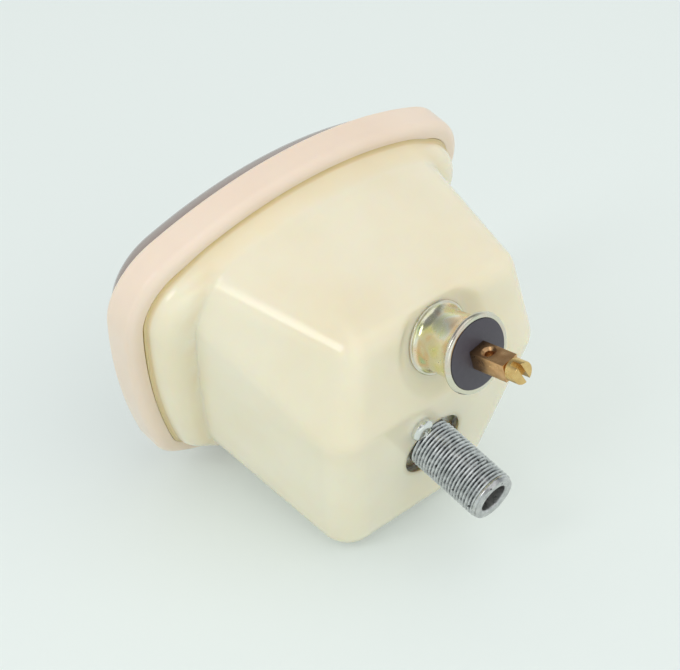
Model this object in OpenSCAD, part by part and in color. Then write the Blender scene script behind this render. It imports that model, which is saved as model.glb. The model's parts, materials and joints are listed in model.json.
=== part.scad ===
// Scooter speedometer in a moulded housing with a fan-shaped bezel
// Millimetres. The spindle runs along Y through the origin, rear is +Y, twelve o'clock is +Z.
// The dial faces -Y, and the rear face of the bezel lies in the plane y = 0.

/* [Face outline] */
// Height of the bezel above the spindle axis
face_top = 47.5; // [44:0.5:54]
// Depth of the bezel below the spindle axis
face_drop = 37.8; // [35:0.1:43]
// Half width that the side arcs of the bezel would reach
face_half_w = 52.4; // [47:0.1:60]
// Radius of the upper edge of the bezel
face_top_r = 105; // [90:1:150]
// Radius of the lower edge of the bezel
face_low_r = 60; // [50:1:80]
// Radius of the sides of the bezel
face_side_r = 170; // [140:5:260]
// Radius of the two upper corners of the bezel
face_corner_top = 16.7; // [14:0.1:20]
// Radius of the two lower corners of the bezel
face_corner_low = 13; // [12:0.1:16]

/* [Bezel and lens] */
// Depth of the bezel from front to rear
bezel_depth = 8.3; // [8:0.1:11]
// Width of the rear lip of the bezel, seen from behind
bezel_lip = 3.9; // [3.4:0.1:4.6]
// Width of the groove between the lip and the skirt of the housing
groove_w = 0.9; // [0.4:0.1:1.2]
// Thickness of the bezel wall
bezel_wall = 1.6; // [1.2:0.1:1.9]
// Height of the lens dome above the front of the bezel
dome_rise = 9.5; // [7:0.5:13]
// Thickness of the lens
lens_t = 1.6; // [1.2:0.1:2]

/* [Housing] */
// Distance from the bezel seat to the lower rear facet
housing_depth = 48.6; // [46:0.1:58]
// Thickness of the moulded wall
wall = 2.5; // [2:0.1:2.8]
// Radius of the edges at the middle of the rear of the housing
edge_r = 7; // [6:0.5:8]
// Radius of the rolled skirt behind the bezel
skirt_r = 6.2; // [5:0.1:7]
// Half width of the rear at the bend between its facets
rear_half_w = 31.6; // [28:0.1:33]
// Half width of the rear at its lower edge
rear_low_half_w = 22.8; // [22.4:0.1:27]
// Depth of the rear below the spindle axis
rear_drop = 27.9; // [27.4:0.1:31]
// Height of the rear above the spindle axis
rear_top = 39; // [38:0.1:41]
// Tilt of the upper facet
facet_tilt = 20; // [15:0.1:22]

/* [Lamp socket] */
// Tilt of the lamp socket and of its seat in the upper facet
lamp_tilt = 22.3; // [18:0.1:25]
// Height of the foot of the lamp socket above the spindle axis
lamp_z = 29.7; // [27:0.1:31]
// Radius of the foot flange
lamp_foot_r = 8.6; // [8:0.1:9.2]
// Radius of the rolled outer ring
lamp_ring_r = 9.3; // [8.8:0.1:10.5]
// Length of the spool from foot to ring
lamp_length = 12.3; // [11:0.1:14]
// Side of the square terminal bar
terminal_side = 4.5; // [4:0.1:5]
// Turn of the terminal bar about its axis
terminal_turn = 10; // [0:1:20]

/* [Drive nipple] */
// Radius of the nipple, over its thread
nipple_r = 6; // [5:0.5:6.5]
// Distance from the lower facet to the tip of the nipple
nipple_length = 19.6; // [14:0.1:24]
// Radius of the bore for the cable end
cable_bore_r = 3.5; // [3.3:0.1:3.8]
// Depth of the bore for the cable end
cable_bore_depth = 5; // [4:0.1:6]
// Distance of the housing screws from the spindle axis
screw_ring_r = 11.8; // [11.8:0.1:12.6]

/* [Movement] */
// Length of the needle from its pivot to its tip
needle_length = 31; // [24:0.5:34]
// Angle from twelve o'clock back to the zero of the scale
needle_zero = 105; // [90:1:115]
// Radius of the magnet
magnet_r = 8.5; // [7:0.1:9]
// Radius of the number drums
drum_r = 7; // [6.6:0.1:7.4]
// Spacing of the number drums along their axle
drum_pitch = 4.2; // [3.8:0.1:4.3]
// Teeth on the cross wheel
cross_teeth = 25; // [20:1:28]
// Teeth on the drive wheel of the drums
drive_teeth = 40; // [36:1:42]

/* [Hidden] */
$fn = 64;

// Smallest thickness of a slice inside a blended form
film = 0.05;
// Length that a cutting tool runs past a face
over = 1;
// Play of a shaft in its bearing
running = 0.05;
// Gap between two fixed parts that fit into each other
fit_gap = 0.02;

// Positions along the spindle axis, front to rear
lens_seat_y = 1.3 - bezel_depth;
gasket_y = lens_seat_y + lens_t;
gasket_t = 1.2;
collar_y = gasket_y + gasket_t;
bezel_lip_t = 1;
dial_t = 0.8;
dial_y = collar_y;
dial_back_y = dial_y + dial_t;

// Outline of the face, as the driving sizes of its arcs
face = [face_top, face_top_r, face_drop, face_low_r, face_half_w, face_side_r, face_top + 1.5,
  face_corner_top, face_corner_low];
collar_inset = bezel_wall + 0.3;
rim_inset = bezel_lip;
skirt_inset = bezel_lip + groove_w;
rim_wall = wall - 0.1;
dome_inset = bezel_wall + 1.4;
dome_gap = 0.3;
dome_fullness = 0.35;
face_mid_z = (face_top - face_drop) / 2;

// Rear of the housing, its corners set by how far their faceted balls reach
edge_sides = 32;
bend_z = 17;
rear_top_taper = 4.4;
low_corner_r = edge_r + 1;
top_corner_r = edge_r - 1;
top_corner_z = rear_top - top_corner_r;
low_corner = [rear_low_half_w - low_corner_r, low_corner_r - rear_drop];
bend_corner = [rear_half_w - edge_r, bend_z - edge_r * tan(facet_tilt / 2)];
top_corner = [rear_half_w - rear_top_taper - top_corner_r, top_corner_z];
top_corner_y = housing_depth - (top_corner_z - bend_z) * tan(facet_tilt) - top_corner_r / cos(facet_tilt);
inner_y = housing_depth - wall;
nipple_hole_r = 8.75;
recess_r = 12.2;
recess_depth = 1.67;
lamp_y = housing_depth - (lamp_z - bend_z) * tan(facet_tilt) - recess_depth;

// Lamp socket
sleeve_r = 5.4;
sleeve_bore_r = 4.7;
sleeve_length = 7;
bulb_y = -sleeve_length - 1;
barrel_r = lamp_foot_r - 1.2;
disc_r = lamp_ring_r - 1.6;
disc_t = 1.4;
disc_y = lamp_length - 2;
terminal_length = 10.3;
terminal_y = disc_y + disc_t;
terminal_hole_r = 1;
terminal_sink_r = 1.7;
terminal_sink_depth = 0.6;
terminal_hole_y = 4.3;
clamp_r = 2.6;
clamp_length = 3.5;
clamp_shank_r = 1.2;
clamp_shank_length = 3.5;
slot_w = 1.2;
slot_depth = 2.2;
slot_turn = -63;

// Housing screws, on a diagonal through the spindle axis
screw_angle = 57;
screw_head_r = 2.8;
screw_head_t = 2.1;
screw_r = 1.5;
screw_length = 6;
screw_gap = 0.15;

// Small screws of the dial and of the bridge
dial_screw_r = 1;
dial_screw_length = 4;
bridge_screw_r = 0.9;
bridge_screw_length = 5;

// Movement frame
frame_plate_t = 3;
frame_y = inner_y - frame_plate_t;
arm_t = 2.5;
arm_top = 12;
plate_drop = 15;
dial_screw_z = arm_top - 3;
flange_r = 8;
flange_y = inner_y + 0.4;
nipple_tip_y = housing_depth + nipple_length;
nipple_chamfer = 0.6;
spigot_r = 5.5;

// Spindle with its worm, and the shaft that it turns
spindle_r = 2;
spindle_head_r = 2.9;
spindle_head_length = 6.5;
spindle_head_gap = 0.3;
spindle_tip_y = nipple_tip_y - cable_bore_depth - spindle_head_gap;
spindle_head_y = spindle_tip_y - spindle_head_length;
socket_side = 2.7;
bush_r = 4;
bush_length = 10;
drum_y = 8;
cross_module = 0.65;
drive_module = 0.4;
cross_pitch_r = cross_module * cross_teeth / 2;
drive_pitch_r = drive_module * drive_teeth / 2;
drum_count = 5;
drum_row_half = drum_pitch * drum_count / 2;
drive_x = drum_row_half + 1.8;
cross_x = drive_x;
worm_r = cross_x - cross_pitch_r;
worm_depth = 0.55;
worm_lead = PI * cross_module;
worm_length = 9;
cross_worm_r = 3;
cross_worm_depth = 0.35;
cross_worm_lead = PI * drive_module;
cross_worm_length = 7;
cross_y = drum_y + drive_pitch_r + cross_worm_r;
cross_shaft_r = 1;
mesh_gap = 0.25;
cross_wheel_t = 1.6;
cross_lug_t = 2;
cross_lug_top = 4;

// Magnet and cups
magnet_t = 6;
magnet_y = 3;
drag_t = 0.4;
drag_inner_r = magnet_r + 0.5;
drag_y = 1.2;
field_inner_r = drag_inner_r + drag_t + 0.5;
field_t = 1.2;
field_outer_r = field_inner_r + field_t;
field_end_y = magnet_y + magnet_t + 0.8;
arbor_r = 0.6;
collet_r = 1.4;
collet_y = drag_y - 0.7;
spring_turns = 3;
spring_pitch = 1.1;
spring_t = 0.2;
spring_h = 0.5;
bridge_y = -2.6;
bridge_t = 2;
bridge_half_h = 4;

// Height of the drums below the field ring, and the arms of the frame outside the cross shaft;
// beside the low corner of the housing the arms end where its wall leaves room
drum_z = -(field_outer_r + drum_r + 0.4);
cross_lug_low = drum_z - cross_worm_length / 2 - 1 - cross_lug_t;
arm_inner_x = cross_x + 2.2;
frame_half_w = arm_inner_x + arm_t;
arm_corner_x = frame_half_w - low_corner[0];
arm_room = sqrt(max(pow(low_corner_r - wall, 2) - pow(arm_corner_x, 2), 0)) - low_corner[1] + 0.1;
arm_drop = min(6.5 - drum_z, arm_room);
plate_rear_half_w = min(frame_half_w - 2, low_corner[0]);
dial_screw_x = frame_half_w - arm_t / 2;

// Outline of the housing body where it meets the skirt, deep enough for the drive wheel
body_drop = max(face_drop - 5.2, drive_pitch_r - drum_z + 4.9);
body_front = [face_top - 4.5, face_top_r - 10, body_drop, face_low_r, face_half_w - 10.6,
  face_side_r + 130, face_top + 23.7, face_corner_top - 3.7, face_corner_low + 12];

// Needle
needle_y = dial_y - 3.6;
needle_t = 0.6;
needle_w = 2;
cap_r = 3.6;
arbor_tip_y = needle_y - 0.8;
stop_r = 0.5;
stop_z = needle_length * 0.5;
stop_angle = needle_zero + 6;

// Number drums and their carry pinions
drum_play = 0.05;
axle_r = 1.2;
band_w = drum_pitch - 1.6;
carry_w = 0.7;
gear_w = 0.8;
drum_gear_teeth = 20;
drum_gear_r = drum_r - 0.7;
carry_rim_r = drum_r - 1.6;
pinion_teeth = 10;
pinion_r = 3.2;
pinion_w = carry_w + gear_w - 0.2;
carry_shaft_r = 0.6;
carry_distance = drum_gear_r + pinion_r - 0.5;
carry_y = drum_y + carry_distance * cos(45);
carry_z = drum_z + carry_distance * sin(45);
number_window = [drum_row_half, 3];

// Colours of the views of this source
cream = [0.93, 0.9, 0.8];
blush = [0.94, 0.86, 0.78];
zinc = [0.66, 0.67, 0.68];
passivated = [0.8, 0.76, 0.6];
brass = [0.78, 0.6, 0.32];
steel = [0.75, 0.76, 0.78];
black = [0.12, 0.12, 0.13];
white = [0.93, 0.93, 0.9];

// Where two circles meet, the one of the two points that lies further along the pointer
function meet(c1, r1, c2, r2, pointer) =
  let (
    gap = norm(c2 - c1),
    along = (r1 * r1 - r2 * r2 + gap * gap) / (2 * gap),
    across = sqrt(max(r1 * r1 - along * along, 0)),
    u = (c2 - c1) / gap,
    n = [-u[1], u[0]],
    p = c1 + along * u + across * n,
    q = c1 + along * u - across * n
  )
  p * pointer > q * pointer ? p : q;

// Points of an arc, its last point left to the arc that follows
function arc(c, r, from, to, steps) =
  [for (i = [0:steps - 1]) let (a = from + (to - from) * i / steps) c + r * [cos(a), sin(a)]];

function direction(from, to) = atan2(to[1] - from[1], to[0] - from[0]);

// Fan outline from the top centre round by the right, set in by a distance
function fan_half(s, inset) =
  let (
    top_c = [0, s[0] - s[1]],
    low_c = [0, s[3] - s[2]],
    side_c = [s[4] - s[5], s[6]],
    upper = meet(top_c, s[1] - s[7], side_c, s[5] - s[7], [1, 1]),
    lower = meet(low_c, s[3] - s[8], side_c, s[5] - s[8], [1, -1]),
    a1 = direction(top_c, upper),
    a2 = direction(side_c, upper),
    a3 = direction(side_c, lower),
    a4 = direction(low_c, lower)
  )
  concat(
    arc(top_c, s[1] - inset, 90, a1, 6),
    arc(upper, s[7] - inset, a1, a2, 7),
    arc(side_c, s[5] - inset, a2, a3, 5),
    arc(lower, s[8] - inset, a3, a4, 6),
    arc(low_c, s[3] - inset, a4, -90, 6)
  );

function fan(s, inset) =
  let (half = fan_half(s, inset), last = len(half) - 1)
  concat(
    half,
    [[0, -s[2] + inset]],
    [for (i = [last:-1:1]) [-half[i][0], half[i][1]]]
  );

// Toothed outline with straight flanks, one tooth centred on the X axis
function wheel_outline(teeth, root_r, tip_r, root_w, tip_w) =
  [
    for (i = [0:teeth - 1], k = [[root_r, -root_w], [tip_r, -tip_w], [tip_r, tip_w], [root_r, root_w]])
      let (a = 360 * i / teeth + asin(k[1] / 2 / k[0])) k[0] * [cos(a), sin(a)]
  ];

// A flat outline in X and Z, made solid from y to y + t
module slab(y, t) {
  translate([0, y + t, 0]) rotate([90, 0, 0]) linear_extrude(t) children();
}

// A fan outline as a plate
module fan_slab(s, inset, y, t) {
  slab(y, t) polygon(fan(s, inset));
}

// A turned piece, its profile given as radius and distance along Y
module turned(points) {
  rotate([-90, 0, 0]) rotate_extrude() polygon(points);
}

module rod(r, y, length) {
  translate([0, y, 0]) rotate([-90, 0, 0]) cylinder(r = r, h = length);
}

module cross_rod(r, x, length) {
  translate([x, 0, 0]) rotate([0, 90, 0]) cylinder(r = r, h = length);
}

module block(from, to) {
  translate(from) cube(to - from);
}

module both_sides() {
  children();
  mirror([1, 0, 0]) children();
}

module at_lamp() {
  translate([0, lamp_y, lamp_z]) rotate([lamp_tilt, 0, 0]) children();
}

module at_screws() {
  for (turn = [0, 180]) rotate([0, turn, 0])
    translate([screw_ring_r * cos(screw_angle), 0, screw_ring_r * sin(screw_angle)]) children();
}

module at_stops() {
  for (side = [-1, 1]) rotate([0, side * stop_angle, 0]) translate([0, 0, stop_z]) children();
}

// Middle of a faceted ball whose rearmost facet lies in the lower rear facet
function flush_y(r) = housing_depth - r * cos(180 / edge_sides);

// One rounded corner of the rear, its middle given as X and Z
module rear_corner(r, middle, y, inset) {
  translate([middle[0], y, middle[1]]) sphere(r - inset, $fn = edge_sides);
}

// The tapering rear of the housing, drawn smaller by an inset
module body_form(inset) {
  hull() {
    fan_slab(body_front, inset, film, film);
    both_sides() {
      rear_corner(low_corner_r, low_corner, flush_y(low_corner_r), inset);
      rear_corner(edge_r, bend_corner, flush_y(edge_r), inset);
      rear_corner(top_corner_r, top_corner, top_corner_y, inset);
    }
  }
}

// The rolled skirt that closes the housing behind the bezel
module skirt_form(inset) {
  hull() {
    fan_slab(face, skirt_inset + inset, -bezel_lip_t, bezel_lip_t + film);
    for (a = [18:18:90])
      fan_slab(face, skirt_inset + skirt_r - (skirt_r - inset) * cos(a), (skirt_r - inset) * sin(a), film);
  }
}

module housing() {
  color(cream) difference() {
    union() {
      body_form(0);
      skirt_form(0);
      fan_slab(face, collar_inset, collar_y, -bezel_lip_t - collar_y);
    }
    body_form(wall);
    skirt_form(rim_wall);
    fan_slab(face, rim_inset + rim_wall, collar_y - over, over - collar_y + 2 * film);
    rod(nipple_hole_r, inner_y - over, wall + 2 * over);
    at_screws() rod(screw_r + screw_gap, inner_y - over, wall + 2 * over);
    at_lamp() {
      rod(recess_r, 0, recess_depth + edge_r);
      rod(sleeve_r + fit_gap, -2 * wall, 3 * wall);
    }
  }
}

// The bezel ring: a small front edge, a wide soft rear edge and a groove for lens, gasket and collar
module bezel() {
  front_round = 1.2;
  rear_round = 2.2;
  color(blush) difference() {
    hull() {
      fan_slab(face, 0, front_round - bezel_depth, bezel_depth - front_round - rear_round);
      for (a = [30:30:90]) {
        fan_slab(face, front_round * (1 - cos(a)), front_round * (1 - sin(a)) - bezel_depth, film);
        fan_slab(face, rear_round * (1 - cos(a)), -rear_round * (1 - sin(a)) - film, film);
      }
    }
    fan_slab(face, dome_inset - dome_gap, -bezel_depth - over, bezel_depth + 2 * over);
    fan_slab(face, rim_inset + fit_gap, -bezel_lip_t - over, bezel_lip_t + 2 * over);
    fan_slab(face, bezel_wall, lens_seat_y, -bezel_lip_t - lens_seat_y);
  }
}

// A dome of shrinking fan outlines that stands on the rim of the lens
module dome_form(inset, rise) {
  hull() for (a = [0:14:84])
    translate([0, lens_seat_y + film - rise * sin(a), face_mid_z])
      scale([pow(cos(a), dome_fullness), 1, pow(cos(a), dome_fullness)])
        translate([0, 0, -face_mid_z]) fan_slab(face, dome_inset + inset, 0, film);
}

module lens() {
  rise = dome_rise + bezel_depth + lens_seat_y;
  color(black, 0.6) difference() {
    union() {
      fan_slab(face, collar_inset, lens_seat_y, lens_t);
      dome_form(0, rise);
    }
    translate([0, film, 0]) dome_form(lens_t, rise - lens_t);
    fan_slab(face, dome_inset + lens_t, lens_seat_y + film / 2, lens_t + over);
  }
}

module lens_gasket() {
  color(black) difference() {
    fan_slab(face, collar_inset, gasket_y, gasket_t);
    fan_slab(face, rim_inset + rim_wall, gasket_y - over, gasket_t + 2 * over);
  }
}

module dial_plate() {
  margin = 0.3;
  centre_hole_r = 2;
  color(white) difference() {
    fan_slab(face, rim_inset + rim_wall + margin, dial_y, dial_t);
    rod(centre_hole_r, dial_y - over, dial_t + 2 * over);
    slab(dial_y - over, dial_t + 2 * over)
      translate([0, drum_z]) square(2 * number_window, center = true);
    both_sides() translate([dial_screw_x, 0, dial_screw_z])
      rod(dial_screw_r + screw_gap, dial_y - over, dial_t + 2 * over);
    at_stops() rod(stop_r, dial_y - over, dial_t + 2 * over);
  }
}

// A small slotted screw, its head seated at y and its shank running to the rear
module slotted_screw(r, head_r, head_t, length) {
  slot_half = 0.25;
  difference() {
    union() {
      rod(head_r, -head_t, head_t);
      rod(r, -film, length);
    }
    block([-head_r - over, -head_t - over, -slot_half], [head_r + over, -head_t / 2, slot_half]);
  }
}

module dial_screws() {
  color(steel) both_sides() translate([dial_screw_x, dial_y, dial_screw_z])
    slotted_screw(dial_screw_r, 1.9 * dial_screw_r, 0.9 * dial_screw_r, dial_screw_length);
}

module bridge_screws() {
  color(steel) both_sides() translate([dial_screw_x, bridge_y, 0])
    slotted_screw(bridge_screw_r, 1.5 * bridge_screw_r, 0.8 * bridge_screw_r, bridge_screw_length);
}

// One arm of the frame, drawn in Y and Z, with its bearings and openings
module arm(x) {
  bridge_back_y = bridge_y + bridge_t;
  foot_y = cross_y + 6;
  wheel_slot = [2 * cross_pitch_r + 4, 4.4];
  worm_window = [8, 8.8];
  rear_window = [frame_y - foot_y - 4, 7];
  translate([x, 0, 0]) rotate([90, 0, 90]) linear_extrude(arm_t) difference() {
    polygon([
      [dial_back_y, -arm_drop], [dial_back_y, -bridge_half_h], [bridge_back_y, -bridge_half_h],
      [bridge_back_y, bridge_half_h], [dial_back_y, bridge_half_h], [dial_back_y, arm_top],
      [frame_y + film, arm_top], [frame_y + film, -plate_drop], [foot_y, -arm_drop]
    ]);
    translate([cross_y, 0]) square(wheel_slot, center = true);
    translate([cross_y, drum_z]) square(worm_window, center = true);
    translate([foot_y, 3.5 - plate_drop]) square(rear_window);
    translate([drum_y, drum_z]) circle(axle_r);
    translate([carry_y, carry_z]) circle(carry_shaft_r);
  }
}

module movement_frame() {
  lug_half = 2;
  plate = [
    [-frame_half_w, frame_y], [frame_half_w, frame_y], [plate_rear_half_w, inner_y],
    [-plate_rear_half_w, inner_y]
  ];
  color(zinc) difference() {
    union() {
      translate([0, 0, -plate_drop]) linear_extrude(plate_drop + arm_top) polygon(plate);
      arm(arm_inner_x);
      arm(-frame_half_w);
      for (z = [cross_lug_top, cross_lug_low])
        block(
          [cross_x - lug_half, cross_y - lug_half, z],
          [arm_inner_x + film, cross_y + lug_half, z + cross_lug_t]
        );
    }
    rod(spigot_r + fit_gap, frame_y - over, frame_plate_t + 2 * over);
    at_screws() rod(screw_r, frame_y - over, frame_plate_t + 2 * over);
    both_sides() {
      translate([dial_screw_x, 0, dial_screw_z]) rod(dial_screw_r, dial_y, dial_screw_length + over);
      translate([dial_screw_x, 0, 0]) rod(bridge_screw_r, bridge_y, bridge_screw_length + over);
    }
    translate([cross_x, cross_y, cross_lug_low - over])
      cylinder(r = cross_shaft_r + running, h = cross_lug_top - cross_lug_low + cross_lug_t + 2 * over);
  }
}

// Nipple with its flange behind the plate of the frame, a spigot in the plate, and stepped bores
module cable_nipple() {
  head_bore_y = spindle_head_y - spindle_head_gap;
  color(zinc) difference() {
    turned([
      [0, frame_y], [spigot_r, frame_y], [spigot_r, inner_y], [flange_r, inner_y], [flange_r, flange_y],
      [nipple_r, flange_y], [nipple_r, nipple_tip_y - nipple_chamfer],
      [nipple_r - nipple_chamfer, nipple_tip_y], [0, nipple_tip_y]
    ]);
    rod(bush_r, frame_y - over, bush_length + over);
    rod(spindle_r + spindle_head_gap, frame_y, spindle_head_y - frame_y);
    rod(spindle_head_r + spindle_head_gap, head_bore_y, nipple_tip_y - head_bore_y);
    rod(cable_bore_r, nipple_tip_y - cable_bore_depth, cable_bore_depth + over);
    translate([0, nipple_tip_y - nipple_chamfer, 0]) rotate([-90, 0, 0])
      cylinder(r1 = cable_bore_r, r2 = cable_bore_r + 2 * nipple_chamfer, h = 2 * nipple_chamfer);
  }
}

// Pan head screws with a cross recess, driven from behind into the frame
module housing_screws() {
  crown = 0.9;
  recess_half = [1.5, 0.35];
  recess_turn = 20;
  head_y = housing_depth + screw_head_t;
  recess_y = head_y - 1.2;
  color(steel) at_screws() difference() {
    union() {
      turned([
        [0, housing_depth], [screw_head_r, housing_depth], [screw_head_r, head_y - crown],
        for (a = [15:15:75]) [screw_head_r - crown * (1 - cos(a)), head_y - crown * (1 - sin(a))],
        [screw_head_r - crown, head_y], [0, head_y]
      ]);
      rod(screw_r, housing_depth - screw_length, screw_length + film);
    }
    for (turn = [0, 90]) rotate([0, turn + recess_turn, 0]) block(
      [-recess_half[0], recess_y, -recess_half[1]],
      [recess_half[0], head_y + over, recess_half[1]]
    );
  }
}

module spindle_bush() {
  color(brass) difference() {
    rod(bush_r, frame_y, bush_length);
    rod(spindle_r + running, frame_y - over, bush_length + 2 * over);
  }
}

// A single thread, made by turning a circle set off from its axis along Z
module worm(r, depth, lead, length, phase) {
  turns = length / lead;
  rotate([0, 0, phase - 180 * turns])
    linear_extrude(height = length, twist = -360 * turns, slices = round(8 * turns), $fn = 20)
      translate([depth, 0]) circle(r);
}

module spindle() {
  core_r = worm_r - worm_depth - 0.4;
  core_y = magnet_y + magnet_t;
  color(steel) difference() {
    union() {
      rod(spindle_r, magnet_y, spindle_head_y - magnet_y + film);
      rod(spindle_head_r, spindle_head_y, spindle_head_length);
      rod(core_r, core_y, cross_y - core_y + worm_length / 2 + 1);
      translate([0, cross_y - worm_length / 2, 0]) rotate([-90, 0, 0])
        worm(worm_r, worm_depth, worm_lead, worm_length, 180);
    }
    block(
      [-socket_side / 2, spindle_head_y + 1, -socket_side / 2],
      [socket_side / 2, spindle_tip_y + over, socket_side / 2]
    );
  }
}

module magnet() {
  color(black) difference() {
    rod(magnet_r, magnet_y, magnet_t);
    rod(spindle_r, magnet_y - over, magnet_t + 2 * over);
  }
}

module field_ring() {
  start_y = drag_y + 0.8;
  ear = 3;
  color(steel) difference() {
    union() {
      rod(field_outer_r, start_y, field_end_y - start_y);
      both_sides() block([field_outer_r - 1, field_end_y - ear, -ear], [arm_inner_x, field_end_y, ear]);
    }
    rod(field_inner_r, start_y - over, field_end_y - start_y + 2 * over);
  }
}

module drag_cup() {
  depth = field_end_y - drag_y - 0.4;
  color(steel) difference() {
    rod(drag_inner_r + drag_t, drag_y, depth);
    rod(drag_inner_r, drag_y + drag_t, depth);
    rod(arbor_r, drag_y - over, 2 * over);
  }
}

module needle_arbor() {
  end_y = drag_y + drag_t + 0.6;
  color(steel) {
    rod(arbor_r, arbor_tip_y, end_y - arbor_tip_y);
    rod(collet_r, collet_y, drag_y - collet_y);
  }
}

// Flat spiral from the collet on the arbor out to the stud on the bridge
module hairspring() {
  steps = 24 * spring_turns;
  path = [
    for (i = [0:steps]) let (a = 360 * spring_turns * i / steps) [a, collet_r + spring_pitch * a / 360]
  ];
  outside = [for (p = path) (p[1] + spring_t) * [cos(p[0]), sin(p[0])]];
  inside = [for (i = [steps:-1:0]) (path[i][1] - film) * [cos(path[i][0]), sin(path[i][0])]];
  color(brass) slab(collet_y, spring_h) polygon(concat(outside, inside));
}

// Plate across the front of the frame that carries the arbor and the stud of the hairspring
module bridge() {
  stud_r = 0.35;
  stud_x = collet_r + spring_pitch * spring_turns + spring_t + stud_r - film;
  half_h = bridge_half_h - fit_gap;
  back_y = bridge_y + bridge_t;
  color(brass) {
    difference() {
      block([-frame_half_w, bridge_y, -half_h], [frame_half_w, back_y, half_h]);
      rod(arbor_r + running, bridge_y - over, bridge_t + 2 * over);
      both_sides() translate([dial_screw_x, 0, 0])
        rod(bridge_screw_r, bridge_y - over, bridge_t + 2 * over);
    }
    translate([stud_x, 0, 0]) rod(stud_r, back_y - film, collet_y + spring_h - back_y + film);
  }
}

module needle() {
  tail = 8;
  tip_half = 0.25;
  shoulder_z = 0.55 * needle_length;
  color("white") rotate([0, -needle_zero, 0]) difference() {
    union() {
      slab(needle_y, needle_t) polygon([
        [-needle_w / 2, -tail], [needle_w / 2, -tail], [needle_w / 2, shoulder_z],
        [tip_half, needle_length], [-tip_half, needle_length], [-needle_w / 2, shoulder_z]
      ]);
      rod(cap_r - 0.8, needle_y, needle_t + 1);
    }
    rod(arbor_r, needle_y - over, 4);
  }
}

module needle_cap() {
  color(black) turned([
    [arbor_r, needle_y], [cap_r, needle_y], [cap_r, needle_y - 0.7], [cap_r - 0.6, needle_y - 1.3],
    [0, needle_y - 1.5], [0, arbor_tip_y], [arbor_r, arbor_tip_y]
  ]);
}

module stop_pins() {
  front_y = needle_y - 0.4;
  color(steel) at_stops() rod(stop_r, front_y, dial_back_y - front_y);
}

// Upright shaft with a hub for its wheel and a worm at the height of the drums
module cross_shaft() {
  shaft_end = 0.5;
  hub = [2, 2.2];
  low = cross_lug_low - shaft_end;
  top = cross_lug_top + cross_lug_t + shaft_end;
  color(steel) translate([cross_x, cross_y, 0]) {
    translate([0, 0, low]) cylinder(r = cross_shaft_r, h = top - low);
    translate([0, 0, drum_z - cross_worm_length / 2])
      worm(cross_worm_r, cross_worm_depth, cross_worm_lead, cross_worm_length, 90);
    translate([0, 0, -cross_wheel_t / 2 - hub[1]]) cylinder(r = hub[0], h = hub[1]);
  }
}

module cross_wheel() {
  tip_r = cross_x - worm_r + worm_depth - mesh_gap;
  root_r = cross_x - worm_r - worm_depth - mesh_gap;
  color(brass) translate([cross_x, cross_y, -cross_wheel_t / 2]) difference() {
    linear_extrude(cross_wheel_t) rotate(180)
      polygon(wheel_outline(cross_teeth, root_r, tip_r, 1.2, 0.3));
    translate([0, 0, -over]) cylinder(r = cross_shaft_r, h = cross_wheel_t + 2 * over);
  }
}

module drum_axle() {
  color(steel) translate([0, drum_y, drum_z]) cross_rod(axle_r, -frame_half_w, 2 * frame_half_w);
}

// One number drum: carry rim with its two teeth, band for the figures, driven ring of teeth
module number_drum(i) {
  tooth_half = 0.3;
  half_step = 180 / drum_gear_teeth;
  rest_angle = -100;
  band_x = drum_play + carry_w;
  gear_x = band_x + band_w - film;
  color(black) translate([drum_row_half - i * drum_pitch, drum_y, drum_z]) difference() {
    union() {
      cross_rod(carry_rim_r, drum_play, carry_w + film);
      cross_rod(drum_r, band_x, band_w);
      translate([gear_x, 0, 0]) rotate([90, 0, 90]) linear_extrude(gear_w)
        polygon(wheel_outline(drum_gear_teeth, drum_gear_r - 0.9, drum_gear_r, 1, 0.5));
      for (a = [-half_step, half_step]) rotate([a + rest_angle, 0, 0])
        block([drum_play, carry_rim_r - tooth_half, -tooth_half], [band_x + film, drum_gear_r, tooth_half]);
    }
    cross_rod(axle_r + running, -over, drum_pitch + 2 * over);
  }
}

module drive_wheel() {
  hub_r = 3;
  wheel_t = 1.2;
  mid_r = cross_y - drum_y - cross_worm_r - 0.2;
  tip_r = mid_r + cross_worm_depth;
  root_r = mid_r - cross_worm_depth;
  hub_x = drum_row_half - drum_play;
  color(brass) translate([0, drum_y, drum_z]) difference() {
    union() {
      translate([drive_x - wheel_t / 2, 0, 0]) rotate([90, 0, 90])
        linear_extrude(wheel_t) polygon(wheel_outline(drive_teeth, root_r, tip_r, 0.65, 0.2));
      cross_rod(hub_r, hub_x, drive_x - hub_x);
    }
    cross_rod(axle_r + running, hub_x - over, drive_x - hub_x + wheel_t + 2 * over);
  }
}

module carry_shaft() {
  color(steel) translate([0, carry_y, carry_z]) cross_rod(carry_shaft_r, -frame_half_w, 2 * frame_half_w);
}

// One pinion that lets a drum step its neighbour, set so that its teeth face the drums
module carry_pinion(i) {
  gap_x = drum_row_half - i * drum_pitch;
  color(brass) translate([gap_x - gear_w + drum_play, carry_y, carry_z]) difference() {
    rotate([90, 0, 90]) linear_extrude(pinion_w)
      rotate(45) polygon(wheel_outline(pinion_teeth, pinion_r - 1.1, pinion_r, 0.8, 0.4));
    cross_rod(carry_shaft_r + running, -over, pinion_w + 2 * over);
  }
}

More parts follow.
